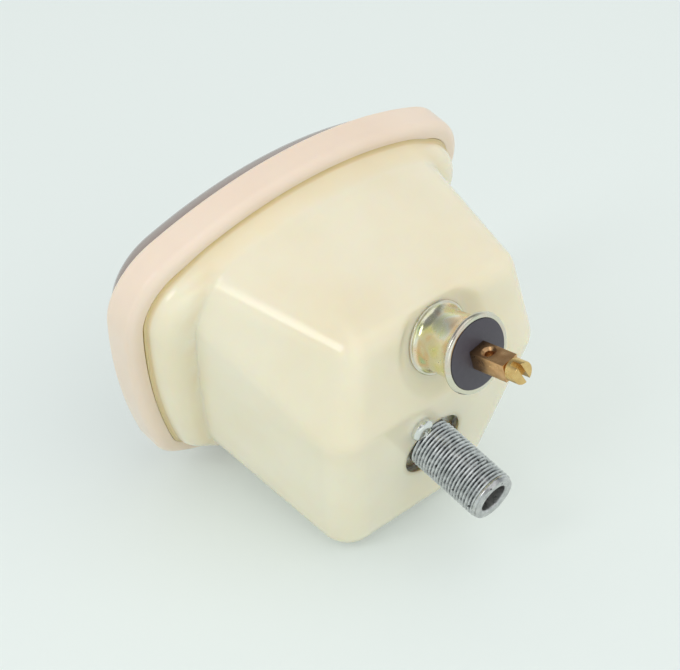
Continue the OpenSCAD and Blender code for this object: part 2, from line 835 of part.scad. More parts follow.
// Spool of the lamp socket: foot, hollow barrel and rolled ring, with a sleeve that holds the bulb
module lamp_shell() {
  roll = (lamp_ring_r - disc_r) / 2;
  ring_y = lamp_length - roll;
  foot_edge = 0.3;
  foot_t = 0.7;
  foot_curve = [lamp_foot_r - barrel_r, 2.4];
  ring_curve = [lamp_ring_r - roll - barrel_r, 3];
  color(passivated) at_lamp() turned(concat(
    [[sleeve_bore_r, -sleeve_length], [sleeve_r, -sleeve_length], [sleeve_r, 0]],
    [[lamp_foot_r - foot_edge, 0], [lamp_foot_r, foot_edge], [lamp_foot_r, foot_t]],
    [
      for (a = [15:15:75])
        [lamp_foot_r - foot_curve[0] * sin(a), foot_t + foot_curve[1] * (1 - cos(a))]
    ],
    [
      for (a = [0:15:75])
        [barrel_r + ring_curve[0] * (1 - cos(a)), ring_y - roll - ring_curve[1] * (1 - sin(a))]
    ],
    [for (a = [-60:20:180]) [lamp_ring_r - roll + roll * cos(a), ring_y + roll * sin(a)]],
    [[disc_r, disc_y], [sleeve_bore_r, disc_y]]
  ));
}

module lamp_insulator() {
  color(black) at_lamp() difference() {
    rod(disc_r - fit_gap, disc_y, disc_t);
    slab(disc_y - over, disc_t + 2 * over)
      rotate(-terminal_turn) square(terminal_side - 1, center = true);
  }
}

// Square terminal bar with its tail through the insulator, a countersunk wire hole and a screw hole
module lamp_terminal() {
  half = terminal_side / 2;
  tail_half = half - 0.5;
  tip = terminal_y + terminal_length;
  color(brass) at_lamp() rotate([0, terminal_turn, 0]) difference() {
    union() {
      block([-half, terminal_y, -half], [half, tip, half]);
      block([-tail_half, disc_y - 3, -tail_half], [tail_half, terminal_y + film, tail_half]);
    }
    translate([0, terminal_y + terminal_hole_y, 0]) {
      translate([0, 0, -half - over]) cylinder(r = terminal_hole_r, h = terminal_side + 2 * over);
      translate([0, 0, half - terminal_sink_depth])
        cylinder(r1 = terminal_hole_r, r2 = 2 * terminal_sink_r - terminal_hole_r, h = 2 * terminal_sink_depth);
    }
    rod(clamp_shank_r, tip - clamp_shank_length - 0.5, clamp_shank_length + 0.5 + over);
  }
}

module terminal_screw() {
  tip = terminal_y + terminal_length;
  color(brass) at_lamp() rotate([0, slot_turn, 0]) difference() {
    union() {
      rod(clamp_r, tip, clamp_length);
      rod(clamp_shank_r, tip - clamp_shank_length, clamp_shank_length + film);
    }
    block(
      [-clamp_r - over, tip + clamp_length - slot_depth, -slot_w / 2],
      [clamp_r + over, tip + clamp_length + over, slot_w / 2]
    );
  }
}

// Bulb of the lamp: a plain cap with its solder contact, and the glass in front of the sleeve
module bulb_base() {
  contact = [1.8, 3];
  cap_end = disc_y - 3 - contact[1];
  color(brass) at_lamp() {
    rod(sleeve_bore_r - fit_gap, bulb_y, cap_end - bulb_y);
    rod(contact[0], cap_end - film, contact[1] + film);
  }
}

module bulb_glass() {
  glass_r = 4.4;
  neck = [3.6, 4.5];
  color(white, 0.5) at_lamp() {
    translate([0, bulb_y - neck[1], 0]) rotate([-90, 0, 0]) sphere(glass_r, $fn = 32);
    rod(neck[0], bulb_y - neck[1], neck[1]);
  }
}

housing();
bezel();
lens();
lens_gasket();
dial_plate();
dial_screws();
movement_frame();
cable_nipple();
housing_screws();
spindle_bush();
spindle();
magnet();
field_ring();
drag_cup();
needle_arbor();
hairspring();
bridge();
bridge_screws();
needle();
needle_cap();
stop_pins();
cross_shaft();
cross_wheel();
drum_axle();
number_drum(1);  // number_drum_1
number_drum(2);  // number_drum_2
number_drum(3);  // number_drum_3
number_drum(4);  // number_drum_4
number_drum(5);  // number_drum_5
drive_wheel();
carry_shaft();
carry_pinion(1);  // carry_pinion_1
carry_pinion(2);  // carry_pinion_2
carry_pinion(3);  // carry_pinion_3
carry_pinion(4);  // carry_pinion_4
lamp_shell();
lamp_insulator();
lamp_terminal();
terminal_screw();
bulb_base();
bulb_glass();
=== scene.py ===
"""Looks of a scooter speedometer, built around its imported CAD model.

Sizes are in millimetres in the part's own frame: Y runs rearward along the spindle, Z points to twelve
o'clock and the dial faces -Y. Meshes are scaled to metres when they are made.
"""

from __future__ import annotations

import json
import logging
import math
from dataclasses import dataclass, field
from enum import Enum
from functools import partial
from typing import Any, Sequence

import bmesh
import bpy
from mathutils import Matrix, Vector
from mathutils.bvhtree import BVHTree

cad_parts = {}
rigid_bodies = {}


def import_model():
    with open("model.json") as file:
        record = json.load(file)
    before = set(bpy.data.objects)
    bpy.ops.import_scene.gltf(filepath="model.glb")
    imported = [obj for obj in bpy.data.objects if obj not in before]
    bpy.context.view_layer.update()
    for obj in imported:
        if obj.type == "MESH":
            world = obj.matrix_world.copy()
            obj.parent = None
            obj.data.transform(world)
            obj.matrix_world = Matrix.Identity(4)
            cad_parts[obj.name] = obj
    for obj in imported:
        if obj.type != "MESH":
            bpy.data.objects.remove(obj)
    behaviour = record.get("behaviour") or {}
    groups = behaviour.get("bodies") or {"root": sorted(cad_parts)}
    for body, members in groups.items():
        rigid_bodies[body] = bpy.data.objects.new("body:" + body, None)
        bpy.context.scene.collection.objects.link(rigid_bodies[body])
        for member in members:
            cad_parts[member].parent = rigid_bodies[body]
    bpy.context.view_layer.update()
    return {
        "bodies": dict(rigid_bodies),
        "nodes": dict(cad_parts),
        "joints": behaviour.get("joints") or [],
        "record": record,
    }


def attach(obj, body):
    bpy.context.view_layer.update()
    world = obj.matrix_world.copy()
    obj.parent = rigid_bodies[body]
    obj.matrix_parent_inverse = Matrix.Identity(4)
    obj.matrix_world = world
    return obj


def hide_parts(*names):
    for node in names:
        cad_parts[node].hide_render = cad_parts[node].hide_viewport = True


MM = 0.001
LOG = logging.getLogger("speedometer")

Feeds = dict[int | str, Any]
Pair = tuple[float, float]
Socket = bpy.types.NodeSocket
Tree = bpy.types.NodeTree
Piece = bpy.types.Object


def linear(colour: str) -> tuple[float, float, float, float]:
    """Turns an sRGB hex colour into linear RGBA.

    Args:
        colour: Six hex digits with a leading hash.

    Returns:
        Red, green, blue and an alpha of 1.
    """
    parts = [int(colour[i:i + 2], 16) / 255 for i in (1, 3, 5)]
    red, green, blue = (c / 12.92 if c <= 0.04045 else ((c + 0.055) / 1.055) ** 2.4 for c in parts)
    return red, green, blue, 1.0


def add_node(tree: Tree, kind: str, feeds: Feeds | None = None, **settings: Any) -> bpy.types.Node:
    """Adds a node with its settings, and sets or links its inputs.

    Args:
        tree: The tree that gets the node.
        kind: Blender's name of the node type.
        feeds: Input name or number, to a value or to the socket that feeds it.
        settings: Properties of the node.

    Returns:
        The new node.
    """
    node = tree.nodes.new(kind)
    for key, value in settings.items():
        setattr(node, key, value)
    for key, value in (feeds or {}).items():
        if isinstance(value, Socket):
            tree.links.new(value, node.inputs[key])
        else:
            node.inputs[key].default_value = value
    return node


def arithmetic(tree: Tree, operation: str, first: Any, second: Any = 0.0) -> Socket:
    """Adds one step of arithmetic.

    Args:
        tree: The tree that gets the node.
        operation: Blender's name of the operation.
        first: A value, or the socket that feeds it.
        second: The same for the second number.

    Returns:
        The socket with the result.
    """
    return add_node(tree, "ShaderNodeMath", {0: first, 1: second}, operation=operation).outputs[0]


def mixed_shaders(tree: Tree, share: Socket, first: Socket, second: Socket) -> Socket:
    """Adds a mix of two shaders; share is how much of the second one shows."""
    return add_node(tree, "ShaderNodeMixShader", {0: share, 1: first, 2: second}).outputs[0]


# Finishes


@dataclass(frozen=True)
class Finish:
    """What every finish has: a name, a colour and a roughness."""

    name: str
    colour: str
    roughness: float

    def material(self) -> bpy.types.Material:
        """Builds the material once and returns it."""
        known = bpy.data.materials.get(self.name)
        if known:
            return known
        made = bpy.data.materials.new(self.name)
        made.use_nodes = True
        tree = made.node_tree
        tree.nodes.clear()
        shader = add_node(tree, "ShaderNodeBsdfPrincipled", {
            "Base Color": linear(self.colour), "Roughness": self.roughness})
        place = add_node(tree, "ShaderNodeTexCoord").outputs["Object"]
        self.paint(tree, shader, place)
        add_node(tree, "ShaderNodeOutputMaterial", {"Surface": self.surface(tree, shader, place)})
        return made

    def surface(self, tree: Tree, shader: bpy.types.Node, place: Socket) -> Socket:
        """Gives what the surface is made of: the Principled node, unless a finish mixes more into it.

        Args:
            tree: The material's tree.
            shader: Its painted Principled node.
            place: The object coordinates, in metres.

        Returns:
            The socket for the material's surface.
        """
        return shader.outputs[0]

    def paint(self, tree: Tree, shader: bpy.types.Node, place: Socket) -> None:
        """Adds what is special to a finish.

        Args:
            tree: The material's tree.
            shader: Its Principled node.
            place: The object coordinates, in metres.
        """

    def mottle(self, tree: Tree, place: Socket, size_mm: float, detail: float = 3.0) -> Socket:
        """A noise whose blotches are about size_mm across.

        Args:
            tree: The material's tree.
            place: The coordinates it reads.
            size_mm: The size of one blotch.
            detail: How many finer layers it has.

        Returns:
            The noise's factor, about 0.5 on average.
        """
        return add_node(tree, "ShaderNodeTexNoise", {
            "Vector": place, "Scale": 1 / (size_mm * MM), "Detail": detail}).outputs[0]

    def spread(self, tree: Tree, source: Socket, spans: tuple[float, float, float, float]) -> Socket:
        """Maps a factor from one range to another, clamped.

        Args:
            tree: The material's tree.
            source: The factor to map.
            spans: Start and end of its range, then what they become.

        Returns:
            The mapped value.
        """
        return add_node(tree, "ShaderNodeMapRange", {
            "Value": source, 1: spans[0], 2: spans[1], 3: spans[2], 4: spans[3]}).outputs[0]

    def mixed(self, tree: Tree, factor: Socket, first: str | Socket, second: str | Socket) -> Socket:
        """Mixes two colours, each a hex value or a socket.

        Args:
            tree: The material's tree.
            factor: How much of the second colour shows.
            first: The colour at 0.
            second: The colour at 1.

        Returns:
            The mixed colour.
        """
        colours = [linear(c) if isinstance(c, str) else c for c in (first, second)]
        return add_node(tree, "ShaderNodeMix", {0: factor, 6: colours[0], 7: colours[1]},
                        data_type="RGBA").outputs[2]

    def relief(self, tree: Tree, shader: bpy.types.Node, height: Socket, depth_mm: float,
               strength: float = 1.0) -> None:
        """Feeds a bump of a real depth to the shader.

        Args:
            tree: The material's tree.
            shader: Its Principled node.
            height: The height from 0 to 1.
            depth_mm: How deep the bump is.
            strength: How much of it shows.
        """
        bump = add_node(tree, "ShaderNodeBump", {
            "Height": height, "Distance": depth_mm * MM, "Strength": strength})
        tree.links.new(bump.outputs[0], shader.inputs["Normal"])

    def scuffed(self, tree: Tree, shader: bpy.types.Node, noise: Socket, limits: Pair, shares: Pair) -> None:
        """Lets the roughness change with a noise.

        Args:
            tree: The material's tree.
            shader: Its Principled node.
            noise: The noise.
            limits: Where in the noise the change starts and ends.
            shares: The least and the most roughness, as shares of the finish's own.
        """
        low, high = (self.roughness * share for share in shares)
        tree.links.new(self.spread(tree, noise, (*limits, low, high)), shader.inputs["Roughness"])

    def rearward(self, tree: Tree, place: Socket) -> Socket:
        """How far back along the spindle a place lies, in metres."""
        return add_node(tree, "ShaderNodeSeparateXYZ", {0: place}).outputs[1]

    def off_axis(self, tree: Tree, place: Socket) -> Socket:
        """How far a place lies from the spindle's axis, in metres."""
        flat = add_node(tree, "ShaderNodeVectorMath", {0: place, 1: (1.0, 0.0, 1.0)}, operation="MULTIPLY")
        reach = add_node(tree, "ShaderNodeVectorMath", {0: flat.outputs[0]}, operation="LENGTH")
        return reach.outputs["Value"]


@dataclass(frozen=True)
class MouldedPlastic(Finish):
    """Thermoplastic out of a polished mould: glossy, faintly cloudy and a little translucent."""

    shade: str = "#d8cfa8"
    scatter_mm: float = 1.5
    translucence: float = 0.3
    cloud_mm: float = 26.0
    # Painted amber for shade and for light glowing through thin plastic; the edges give where it fades behind
    # the groove and round the hole, in millimetres
    amber: str = "#e8cd96"
    amber_edges: tuple[float, float, float, float] | None = None
    hole_share: float = 0.5
    scuff_mm: float = 14.0
    scuff_shares: Pair = (0.9, 1.15)
    wave_mm: float = 9.0
    wave_depth_mm: float = 0.02
    scatter_tint: tuple[float, float, float] = (1.0, 0.72, 0.4)
    ior: float = 1.53

    def aged(self, tree: Tree, place: Socket) -> Socket:
        """Where amber is painted for shade and for light glowing through the thin plastic: in the groove,
        round the hole and in the hollow behind the skirt.

        Args:
            tree: The material's tree.
            place: The object coordinates, in metres.

        Returns:
            A factor that is 1 where the amber tone is full.
        """
        groove_y, groove_end, hole_r, hole_end = (edge * MM for edge in self.amber_edges)
        front = self.spread(tree, self.rearward(tree, place), (groove_y, groove_end, 1.0, 0.0))
        hole = self.spread(tree, self.off_axis(tree, place), (hole_r, hole_end, self.hole_share, 0.0))
        hollow = add_node(tree, "ShaderNodeAttribute", attribute_name="hollow").outputs["Fac"]
        return arithmetic(tree, "MAXIMUM", arithmetic(tree, "MAXIMUM", front, hole), hollow)

    def paint(self, tree: Tree, shader: bpy.types.Node, place: Socket) -> None:
        """Clouds the colour, lets light into the skin and gives it the slight waves of a moulding."""
        cloud = self.spread(tree, self.mottle(tree, place, self.cloud_mm), (0.35, 0.7, 0.0, 0.55))
        colour = self.mixed(tree, cloud, self.colour, self.shade)
        # Paints the amber glow and shade into the groove, round the hole and into the hollow
        if self.amber_edges:
            colour = self.mixed(tree, self.aged(tree, place), colour, self.amber)
        tree.links.new(colour, shader.inputs["Base Color"])
        scuffs = self.mottle(tree, place, self.scuff_mm, 1.0)
        self.scuffed(tree, shader, scuffs, (0.0, 1.0), self.scuff_shares)
        shader.inputs["IOR"].default_value = self.ior
        shader.inputs["Subsurface Weight"].default_value = self.translucence
        shader.inputs["Subsurface Radius"].default_value = self.scatter_tint
        shader.inputs["Subsurface Scale"].default_value = self.scatter_mm * MM
        self.relief(tree, shader, self.mottle(tree, place, self.wave_mm, 2.0), self.wave_depth_mm, 0.5)


@dataclass(frozen=True)
class ClearAcrylic(Finish):
    """Moulded acrylic: clear and polished, with a smoky haze in its steep sides."""

    smoke: str = "#93857f"
    crown_y: float = -15.6
    side_y: float = -13.6
    haze: float = 0.9
    ior: float = 1.49

    def paint(self, tree: Tree, shader: bpy.types.Node, place: Socket) -> None:
        """Gives the hazy part its smoky tone and the gloss of acrylic."""
        shader.inputs["Base Color"].default_value = linear(self.smoke)
        shader.inputs["IOR"].default_value = self.ior

    def surface(self, tree: Tree, shader: bpy.types.Node, place: Socket) -> Socket:
        """Lets light straight through the thin wall, mirrors at its outer faces and hazes its sides."""
        bare = add_node(tree, "ShaderNodeBsdfTransparent", {"Color": linear(self.colour)})
        gloss = add_node(tree, "ShaderNodeBsdfGlossy", {
            "Color": linear("#ffffff"), "Roughness": self.roughness})
        mirror = add_node(tree, "ShaderNodeFresnel", {"IOR": self.ior}).outputs[0]
        behind = add_node(tree, "ShaderNodeNewGeometry").outputs["Backfacing"]
        share = arithmetic(tree, "MULTIPLY", mirror, arithmetic(tree, "SUBTRACT", 1.0, behind))
        clear = mixed_shaders(tree, share, bare.outputs[0], gloss.outputs[0])
        limits = (self.crown_y * MM, self.side_y * MM)
        side = self.spread(tree, self.rearward(tree, place), (*limits, 0.0, self.haze))
        return mixed_shaders(tree, side, clear, shader.outputs[0])


@dataclass(frozen=True)
class CastZinc(Finish):
    """Die-cast zinc as it leaves the die: matt grey, cloudy, with small dark pores."""

    pore_mm: float = 0.9
    roots: Pair | None = None
    oxide: str = "#989a9b"
    # Painted shade for the roots of a thread
    dirt: str = "#56595b"
    pore: str = "#26282a"

    def paint(self, tree: Tree, shader: bpy.types.Node, place: Socket) -> None:
        """Lays cloudy oxide and sparse pores over bare metal, and painted shade in the roots of a thread."""
        shader.inputs["Metallic"].default_value = 1.0
        cloudy = self.spread(tree, self.mottle(tree, place, 1.6, 6.0), (0.35, 0.7, 0.0, 0.7))
        body = self.mixed(tree, cloudy, self.colour, self.oxide)
        # Painted shade: darkens the metal, in patches, deep in a thread's roots
        if self.roots:
            limits = (self.roots[0] * MM, self.roots[1] * MM)
            deep = self.spread(tree, self.off_axis(tree, place), (*limits, 1.0, 0.0))
            patchy = self.spread(tree, self.mottle(tree, place, 1.4, 4.0), (0.38, 0.6, 0.25, 1.0))
            body = self.mixed(tree, arithmetic(tree, "MULTIPLY", deep, patchy), body, self.dirt)
        cells = add_node(tree, "ShaderNodeTexVoronoi", {
            "Vector": place, "Scale": 1 / (self.pore_mm * 2.6 * MM), "Randomness": 1.0})
        pores = self.spread(tree, cells.outputs["Distance"], (0.1, 0.17, 1.0, 0.0))
        sparse = self.spread(tree, self.mottle(tree, place, 2.8, 1.0), (0.52, 0.58, 0.0, 1.0))
        colour = self.mixed(tree, arithmetic(tree, "MULTIPLY", pores, sparse), body, self.pore)
        tree.links.new(colour, shader.inputs["Base Color"])
        self.scuffed(tree, shader, self.mottle(tree, place, 0.7, 4.0), (0.3, 0.7), (0.75, 1.3))
        self.relief(tree, shader, self.mottle(tree, place, 0.5, 3.0), 0.015, 0.5)


@dataclass(frozen=True)
class PassivatedSteel(Finish):
    """Pressed steel, zinc plated and yellow passivated: bright, with drifting green, gold and rose."""

    rubbed: str = "#d9d3c9"

    def paint(self, tree: Tree, shader: bpy.types.Node, place: Socket) -> None:
        """Drifts the film's colours over the metal in soft patches, and thins it on the rolled rims."""
        shader.inputs["Metallic"].default_value = 1.0
        drift = self.mottle(tree, place, 7.0, 2.0)
        stretched = add_node(tree, "ShaderNodeValToRGB", {"Fac": drift})
        ramp = stretched.color_ramp
        stops = [(0.3, "#c2deb2"), (0.42, "#e8e7b4"), (0.52, self.colour), (0.62, "#ecd0ac"),
                 (0.72, "#c0dcb6")]
        while len(ramp.elements) < len(stops):
            ramp.elements.new(0.5)
        for element, (position, colour) in zip(ramp.elements, stops):
            element.position = position
            element.color = linear(colour)
        rub = add_node(tree, "ShaderNodeAttribute", attribute_name="rub").outputs["Fac"]
        tree.links.new(self.mixed(tree, rub, stretched.outputs[0], self.rubbed), shader.inputs["Base Color"])
        self.scuffed(tree, shader, self.mottle(tree, place, 1.2, 5.0), (0.3, 0.75), (0.7, 1.6))


@dataclass(frozen=True)
class TurnedMetal(Finish):
    """Machined metal: fine tool marks, a slight tarnish, lighter rubbed places and, where asked for, a
    painted shadow.
    """

    tarnish: str = "#8a6a3a"
    mark_mm: float = 0.35
    amount: float = 0.6
    # Painted shadow: where along the spindle it starts and ends, its colour and how much of it shows
    dark_y: Pair | None = None
    dark: str = "#4a3a2c"
    dark_share: float = 0.75

    def paint(self, tree: Tree, shader: bpy.types.Node, place: Socket) -> None:
        """Spreads tarnish and fine marks over the metal, and paints a shadow where one is asked for."""
        shader.inputs["Metallic"].default_value = 1.0
        dull = self.spread(tree, self.mottle(tree, place, 2.2, 6.0), (0.4, 0.75, 0.0, self.amount))
        colour = self.mixed(tree, dull, self.colour, self.tarnish)
        # Paints a shadow that darkens the metal towards the low end of that span
        if self.dark_y:
            limits = (self.dark_y[0] * MM, self.dark_y[1] * MM)
            root_shadow = self.spread(tree, self.rearward(tree, place), (*limits, self.dark_share, 0.0))
            colour = self.mixed(tree, root_shadow, colour, self.dark)
        tree.links.new(colour, shader.inputs["Base Color"])
        self.scuffed(tree, shader, self.mottle(tree, place, 1.1, 5.0), (0.3, 0.75), (0.75, 1.5))
        self.relief(tree, shader, self.mottle(tree, place, self.mark_mm, 3.0), 0.01, 0.4)


@dataclass(frozen=True)
class MattSolid(Finish):
    """Rubber, phenolic board, nylon, ferrite or paint: one colour with a fine grain."""

    fleck: str = "#3a3a3a"
    grain_mm: float = 0.5
    ior: float = 1.5

    def paint(self, tree: Tree, shader: bpy.types.Node, place: Socket) -> None:
        """Gives the colour and the surface a fine grain."""
        shader.inputs["IOR"].default_value = self.ior
        grain = self.spread(tree, self.mottle(tree, place, self.grain_mm * 4, 5.0), (0.35, 0.75, 0.0, 0.35))
        tree.links.new(self.mixed(tree, grain, self.colour, self.fleck), shader.inputs["Base Color"])
        self.relief(tree, shader, self.mottle(tree, place, self.grain_mm, 3.0), 0.02, 0.5)


@dataclass(frozen=True)
class BulbGlass(Finish):
    """Blown soda glass of a small bulb."""

    ior: float = 1.52

    def paint(self, tree: Tree, shader: bpy.types.Node, place: Socket) -> None:
        """Lets the light through, with the uneven wall of blown glass."""
        shader.inputs["Transmission Weight"].default_value = 1.0
        shader.inputs["IOR"].default_value = self.ior
        self.relief(tree, shader, self.mottle(tree, place, 3.0, 1.0), 0.02, 0.3)


# ABS out of a polished mould, yellowed to ivory: broad soft highlights and light that enters the thin edges;
# amber is painted in the groove, round the hole and in the hollow for shade and for light glowing through the
# thin plastic
IVORY_ABS = MouldedPlastic("ivory_abs_moulded", "#f3ebd4", 0.16, shade="#ebdfbf", translucence=0.6,
                           scatter_mm=3.0, amber_edges=(0.1, 1.3, 8.3, 9.4))
# ABS of the bezel, dyed a pinkish cream and a little less glossy
BLUSH_ABS = MouldedPlastic("blush_abs_moulded", "#f3e2d0", 0.3, shade="#ecd6c0", translucence=0.25,
                           scatter_mm=1.0)
# Clear acrylic with a warm smoke, which shows as a dark rim where the dome's sides are seen
DOME_ACRYLIC = ClearAcrylic("acrylic_dome", "#f0ebe8", 0.03)
# Zinc of the nipple as cast, and of its thread: rubbed bright on the crests, with painted shade in the roots
NIPPLE_ZINC = CastZinc("zinc_die_cast", "#d2d2d1", 0.32)
THREAD_ZINC = CastZinc("zinc_thread_rubbed", "#dadbdb", 0.28, roots=(5.62, 5.86))
# Socket shell, pressed steel with its passivated zinc plating
SHELL_STEEL = PassivatedSteel("steel_yellow_passivated", "#ebe8d2", 0.2)
# Screws, bright zinc plated
SCREW_STEEL = TurnedMetal("steel_zinc_plated", "#e4e6e4", 0.2, tarnish="#c9c9bd", amount=0.4)
# Ground steel of shafts and pins
SHAFT_STEEL = TurnedMetal("steel_ground", "#b4b4b2", 0.3, tarnish="#8a7f72", amount=0.4)
# Brass of the terminal, sawn and drilled, tarnished towards copper, with a painted shadow darkening it
# towards its root
TERMINAL_BRASS = TurnedMetal("brass_tarnished", "#dab080", 0.33, tarnish="#ad7f54", amount=0.8,
                             dark_y=(53.2, 56.2))
# Brass of the clamp screw, freshly turned
SCREW_BRASS = TurnedMetal("brass_turned", "#e3c384", 0.27, tarnish="#c49a5c", amount=0.6)
# Steel of the drive spindle, browned by old grease
SPINDLE_STEEL = TurnedMetal("steel_greased", "#b9a297", 0.25, tarnish="#8d6f62", amount=0.6)
# Phenolic board of the insulator: nearly black with a violet cast, satin
INSULATOR_BOARD = MattSolid("phenolic_board", "#4a4750", 0.45, fleck="#3c3942", grain_mm=0.3)
# Moulded rubber of the gasket: dull black
BLACK_RUBBER = MattSolid("rubber_moulded", "#1f1f20", 0.7, fleck="#2c2c2c", grain_mm=0.4)
# Black ABS of the drums and the needle's cap: deep black with a low sheen
BLACK_ABS = MattSolid("abs_black", "#17171a", 0.38, fleck="#222226", grain_mm=0.5)
# Sintered ferrite of the magnet: dark grey and dry
FERRITE = MattSolid("ferrite_sintered", "#37373b", 0.6, fleck="#4b4b4e", grain_mm=0.4)
# Undyed nylon of the gears: milky and waxy
NYLON = MattSolid("nylon_natural", "#e5dfcd", 0.42, fleck="#d3ccb5", grain_mm=0.6)
# Enamel of the dial: stoved charcoal with the slight orange peel of spray
DIAL_ENAMEL = MattSolid("enamel_charcoal", "#2b2a2c", 0.42, fleck="#333234", grain_mm=0.35)
# Screen-printed ink of the scale and the drums: flat cream
PRINT_INK = MattSolid("ink_cream", "#ece4cb", 0.5, fleck="#e0d7bc", grain_mm=0.3)
# Sprayed enamel of the needle: strong orange red, the one bright thing on the dial
NEEDLE_ENAMEL = MattSolid("enamel_orange", "#d9481f", 0.36, fleck="#c63f1a", grain_mm=0.4)
# Spun aluminium of the drag cup: pale and softly bright
CUP_ALUMINIUM = TurnedMetal("aluminium_spun", "#d5d7d9", 0.32, tarnish="#b4b7ba", amount=0.4)
# Blown glass of the bulb: clear, with a slightly wavy gloss
BULB_GLASS = BulbGlass("glass_blown", "#f6f6f4", 0.02)


# Meshes


def placed(name: str, data: bpy.types.ID) -> Piece:
    """Makes an object of its data and links it to the scene."""
    thing = bpy.data.objects.new(name, data)
    bpy.context.scene.collection.objects.link(thing)
    return thing


def full_turn(count: int) -> list[float]:
    """Angles that divide a full turn evenly, in radians."""
    return [2 * math.pi * i / count for i in range(count)]


def log_faces(piece: Piece) -> None:
    """Logs how many faces a finished piece has."""
    LOG.info("%s: %d faces", piece.name, len(piece.data.polygons))


def mesh_piece(name: str, corners: Sequence[Sequence[float]], faces: Sequence[Sequence[int]],
               finish: Finish, sharp_deg: float = 35.0, outward: bool = True) -> Piece:
    """Makes an object from corners in millimetres.

    Args:
        name: Name of the object.
        corners: Its corners.
        faces: Its faces, by corner number.
        finish: What it is made of.
        sharp_deg: Edges that turn by more than this stay sharp.
        outward: Whether the faces are turned outwards here.

    Returns:
        The object, linked to the scene.
    """
    mesh = bpy.data.meshes.new(name)
    mesh.from_pydata([tuple(c * MM for c in corner) for corner in corners], [], [tuple(f) for f in faces])
    tidy_mesh(mesh, sharp_deg, outward)
    mesh.materials.append(finish.material())
    return placed(name, mesh)


def tidy_mesh(mesh: bpy.types.Mesh, sharp_deg: float, outward: bool = True) -> None:
    """Merges doubles, turns the faces outwards and shades smooth up to an angle.

    Args:
        mesh: The mesh to tidy.
        sharp_deg: Edges that turn by more than this stay sharp.
        outward: Whether the faces are turned outwards.
    """
    work = bmesh.new()
    work.from_mesh(mesh)
    bmesh.ops.remove_doubles(work, verts=work.verts, dist=1e-7)
    if outward:
        bmesh.ops.recalc_face_normals(work, faces=work.faces)
    for face in work.faces:
        face.smooth = True
    for edge in work.edges:
        if len(edge.link_faces) == 2:
            edge.smooth = edge.calc_face_angle(0.0) < math.radians(sharp_deg)
    work.to_mesh(mesh)
    work.free()


def loft(name: str, rings: Sequence[Sequence[Sequence[float]]], finish: Finish, closed: bool = False,
         caps: tuple[bool, bool] = (False, False), sharp_deg: float = 35.0) -> Piece:
    """Joins rings of as many points each with four-sided faces.

    Args:
        name: Name of the object.
        rings: The rings, in millimetres.
        finish: What it is made of.
        closed: Whether the last ring joins the first.
        caps: Whether the first and the last ring are closed with a face.
        sharp_deg: Edges that turn by more than this stay sharp.

    Returns:
        The object.
    """
    count = len(rings[0])
    corners = [p for ring in rings for p in ring]
    steps = len(rings) if closed else len(rings) - 1
    faces = []
    for i in range(steps):
        a, b = i * count, (i + 1) % len(rings) * count
        faces += [(a + j, a + (j + 1) % count, b + (j + 1) % count, b + j) for j in range(count)]
    if caps[0]:
        faces.append(tuple(range(count - 1, -1, -1)))
    if caps[1]:
        start = (len(rings) - 1) * count
        faces.append(tuple(range(start, start + count)))
    return mesh_piece(name, corners, faces, finish, sharp_deg)


def turned(name: str, profile: Sequence[Pair], finish: Finish, place: Matrix | None = None,
           segments: int = 96, closed: bool = True, sharp_deg: float = 35.0) -> Piece:
    """Turns a profile of radius and distance along Y about the Y axis.

    Args:
        name: Name of the object.
        profile: Radius and distance pairs, in millimetres.
        finish: What it is made of.
        place: Where the axis goes, in millimetres, if not along the spindle.
        segments: Faces round the axis.
        closed: Whether the profile is a closed loop.
        sharp_deg: Edges that turn by more than this stay sharp.

    Returns:
        The object.
    """
    place = place or Matrix.Identity(4)
    angles = full_turn(segments)
    rings = [[place @ Vector((r * math.sin(a), y, r * math.cos(a))) for a in angles] for r, y in profile]
    return loft(name, rings, finish, closed, sharp_deg=sharp_deg)


def bend(centre: Pair, radius: float | Pair, start: float, end: float, steps: int) -> list[Pair]:
    """Points of an arc or of a quarter of an ellipse.

    Args:
        centre: Its centre.
        radius: Its radius, or one for each direction.
        start: First angle in degrees.
        end: Last angle in degrees.
        steps: Number of steps.

    Returns:
        The points, both ends included.
    """
    rx, ry = radius if isinstance(radius, tuple) else (radius, radius)
    angles = [math.radians(start + (end - start) * i / steps) for i in range(steps + 1)]
    return [(centre[0] + rx * math.cos(a), centre[1] + ry * math.sin(a)) for a in angles]


def joined(name: str, pieces: Sequence[Piece]) -> Piece:
    """Joins pieces into one object that keeps each material.

    Args:
        name: Name of the joined object.
        pieces: The pieces, which are used up.

    Returns:
        The joined object.
    """
    work = bmesh.new()
    materials: list[bpy.types.Material] = []
    for piece in pieces:
        start = len(work.faces)
        work.from_mesh(piece.data)
        work.faces.ensure_lookup_table()
        own = list(piece.data.materials)
        for face in work.faces[start:]:
            material = own[min(face.material_index, len(own) - 1)]
            if material not in materials:
                materials.append(material)
            face.material_index = materials.index(material)
        bpy.data.objects.remove(piece)
    mesh = bpy.data.meshes.new(name)
    work.to_mesh(mesh)
    work.free()
    for material in materials:
        mesh.materials.append(material)
    return placed(name, mesh)


def settled(piece: Piece) -> Piece:
    """Applies a piece's modifiers to its mesh.

    Args:
        piece: The piece with live modifiers.

    Returns:
        The same piece, with a plain mesh.
    """
    bpy.context.view_layer.update()
    seen = piece.evaluated_get(bpy.context.evaluated_depsgraph_get())
    mesh = bpy.data.meshes.new_from_object(seen)
    piece.modifiers.clear()
    piece.data = mesh
    return piece


# Node trees that make geometry


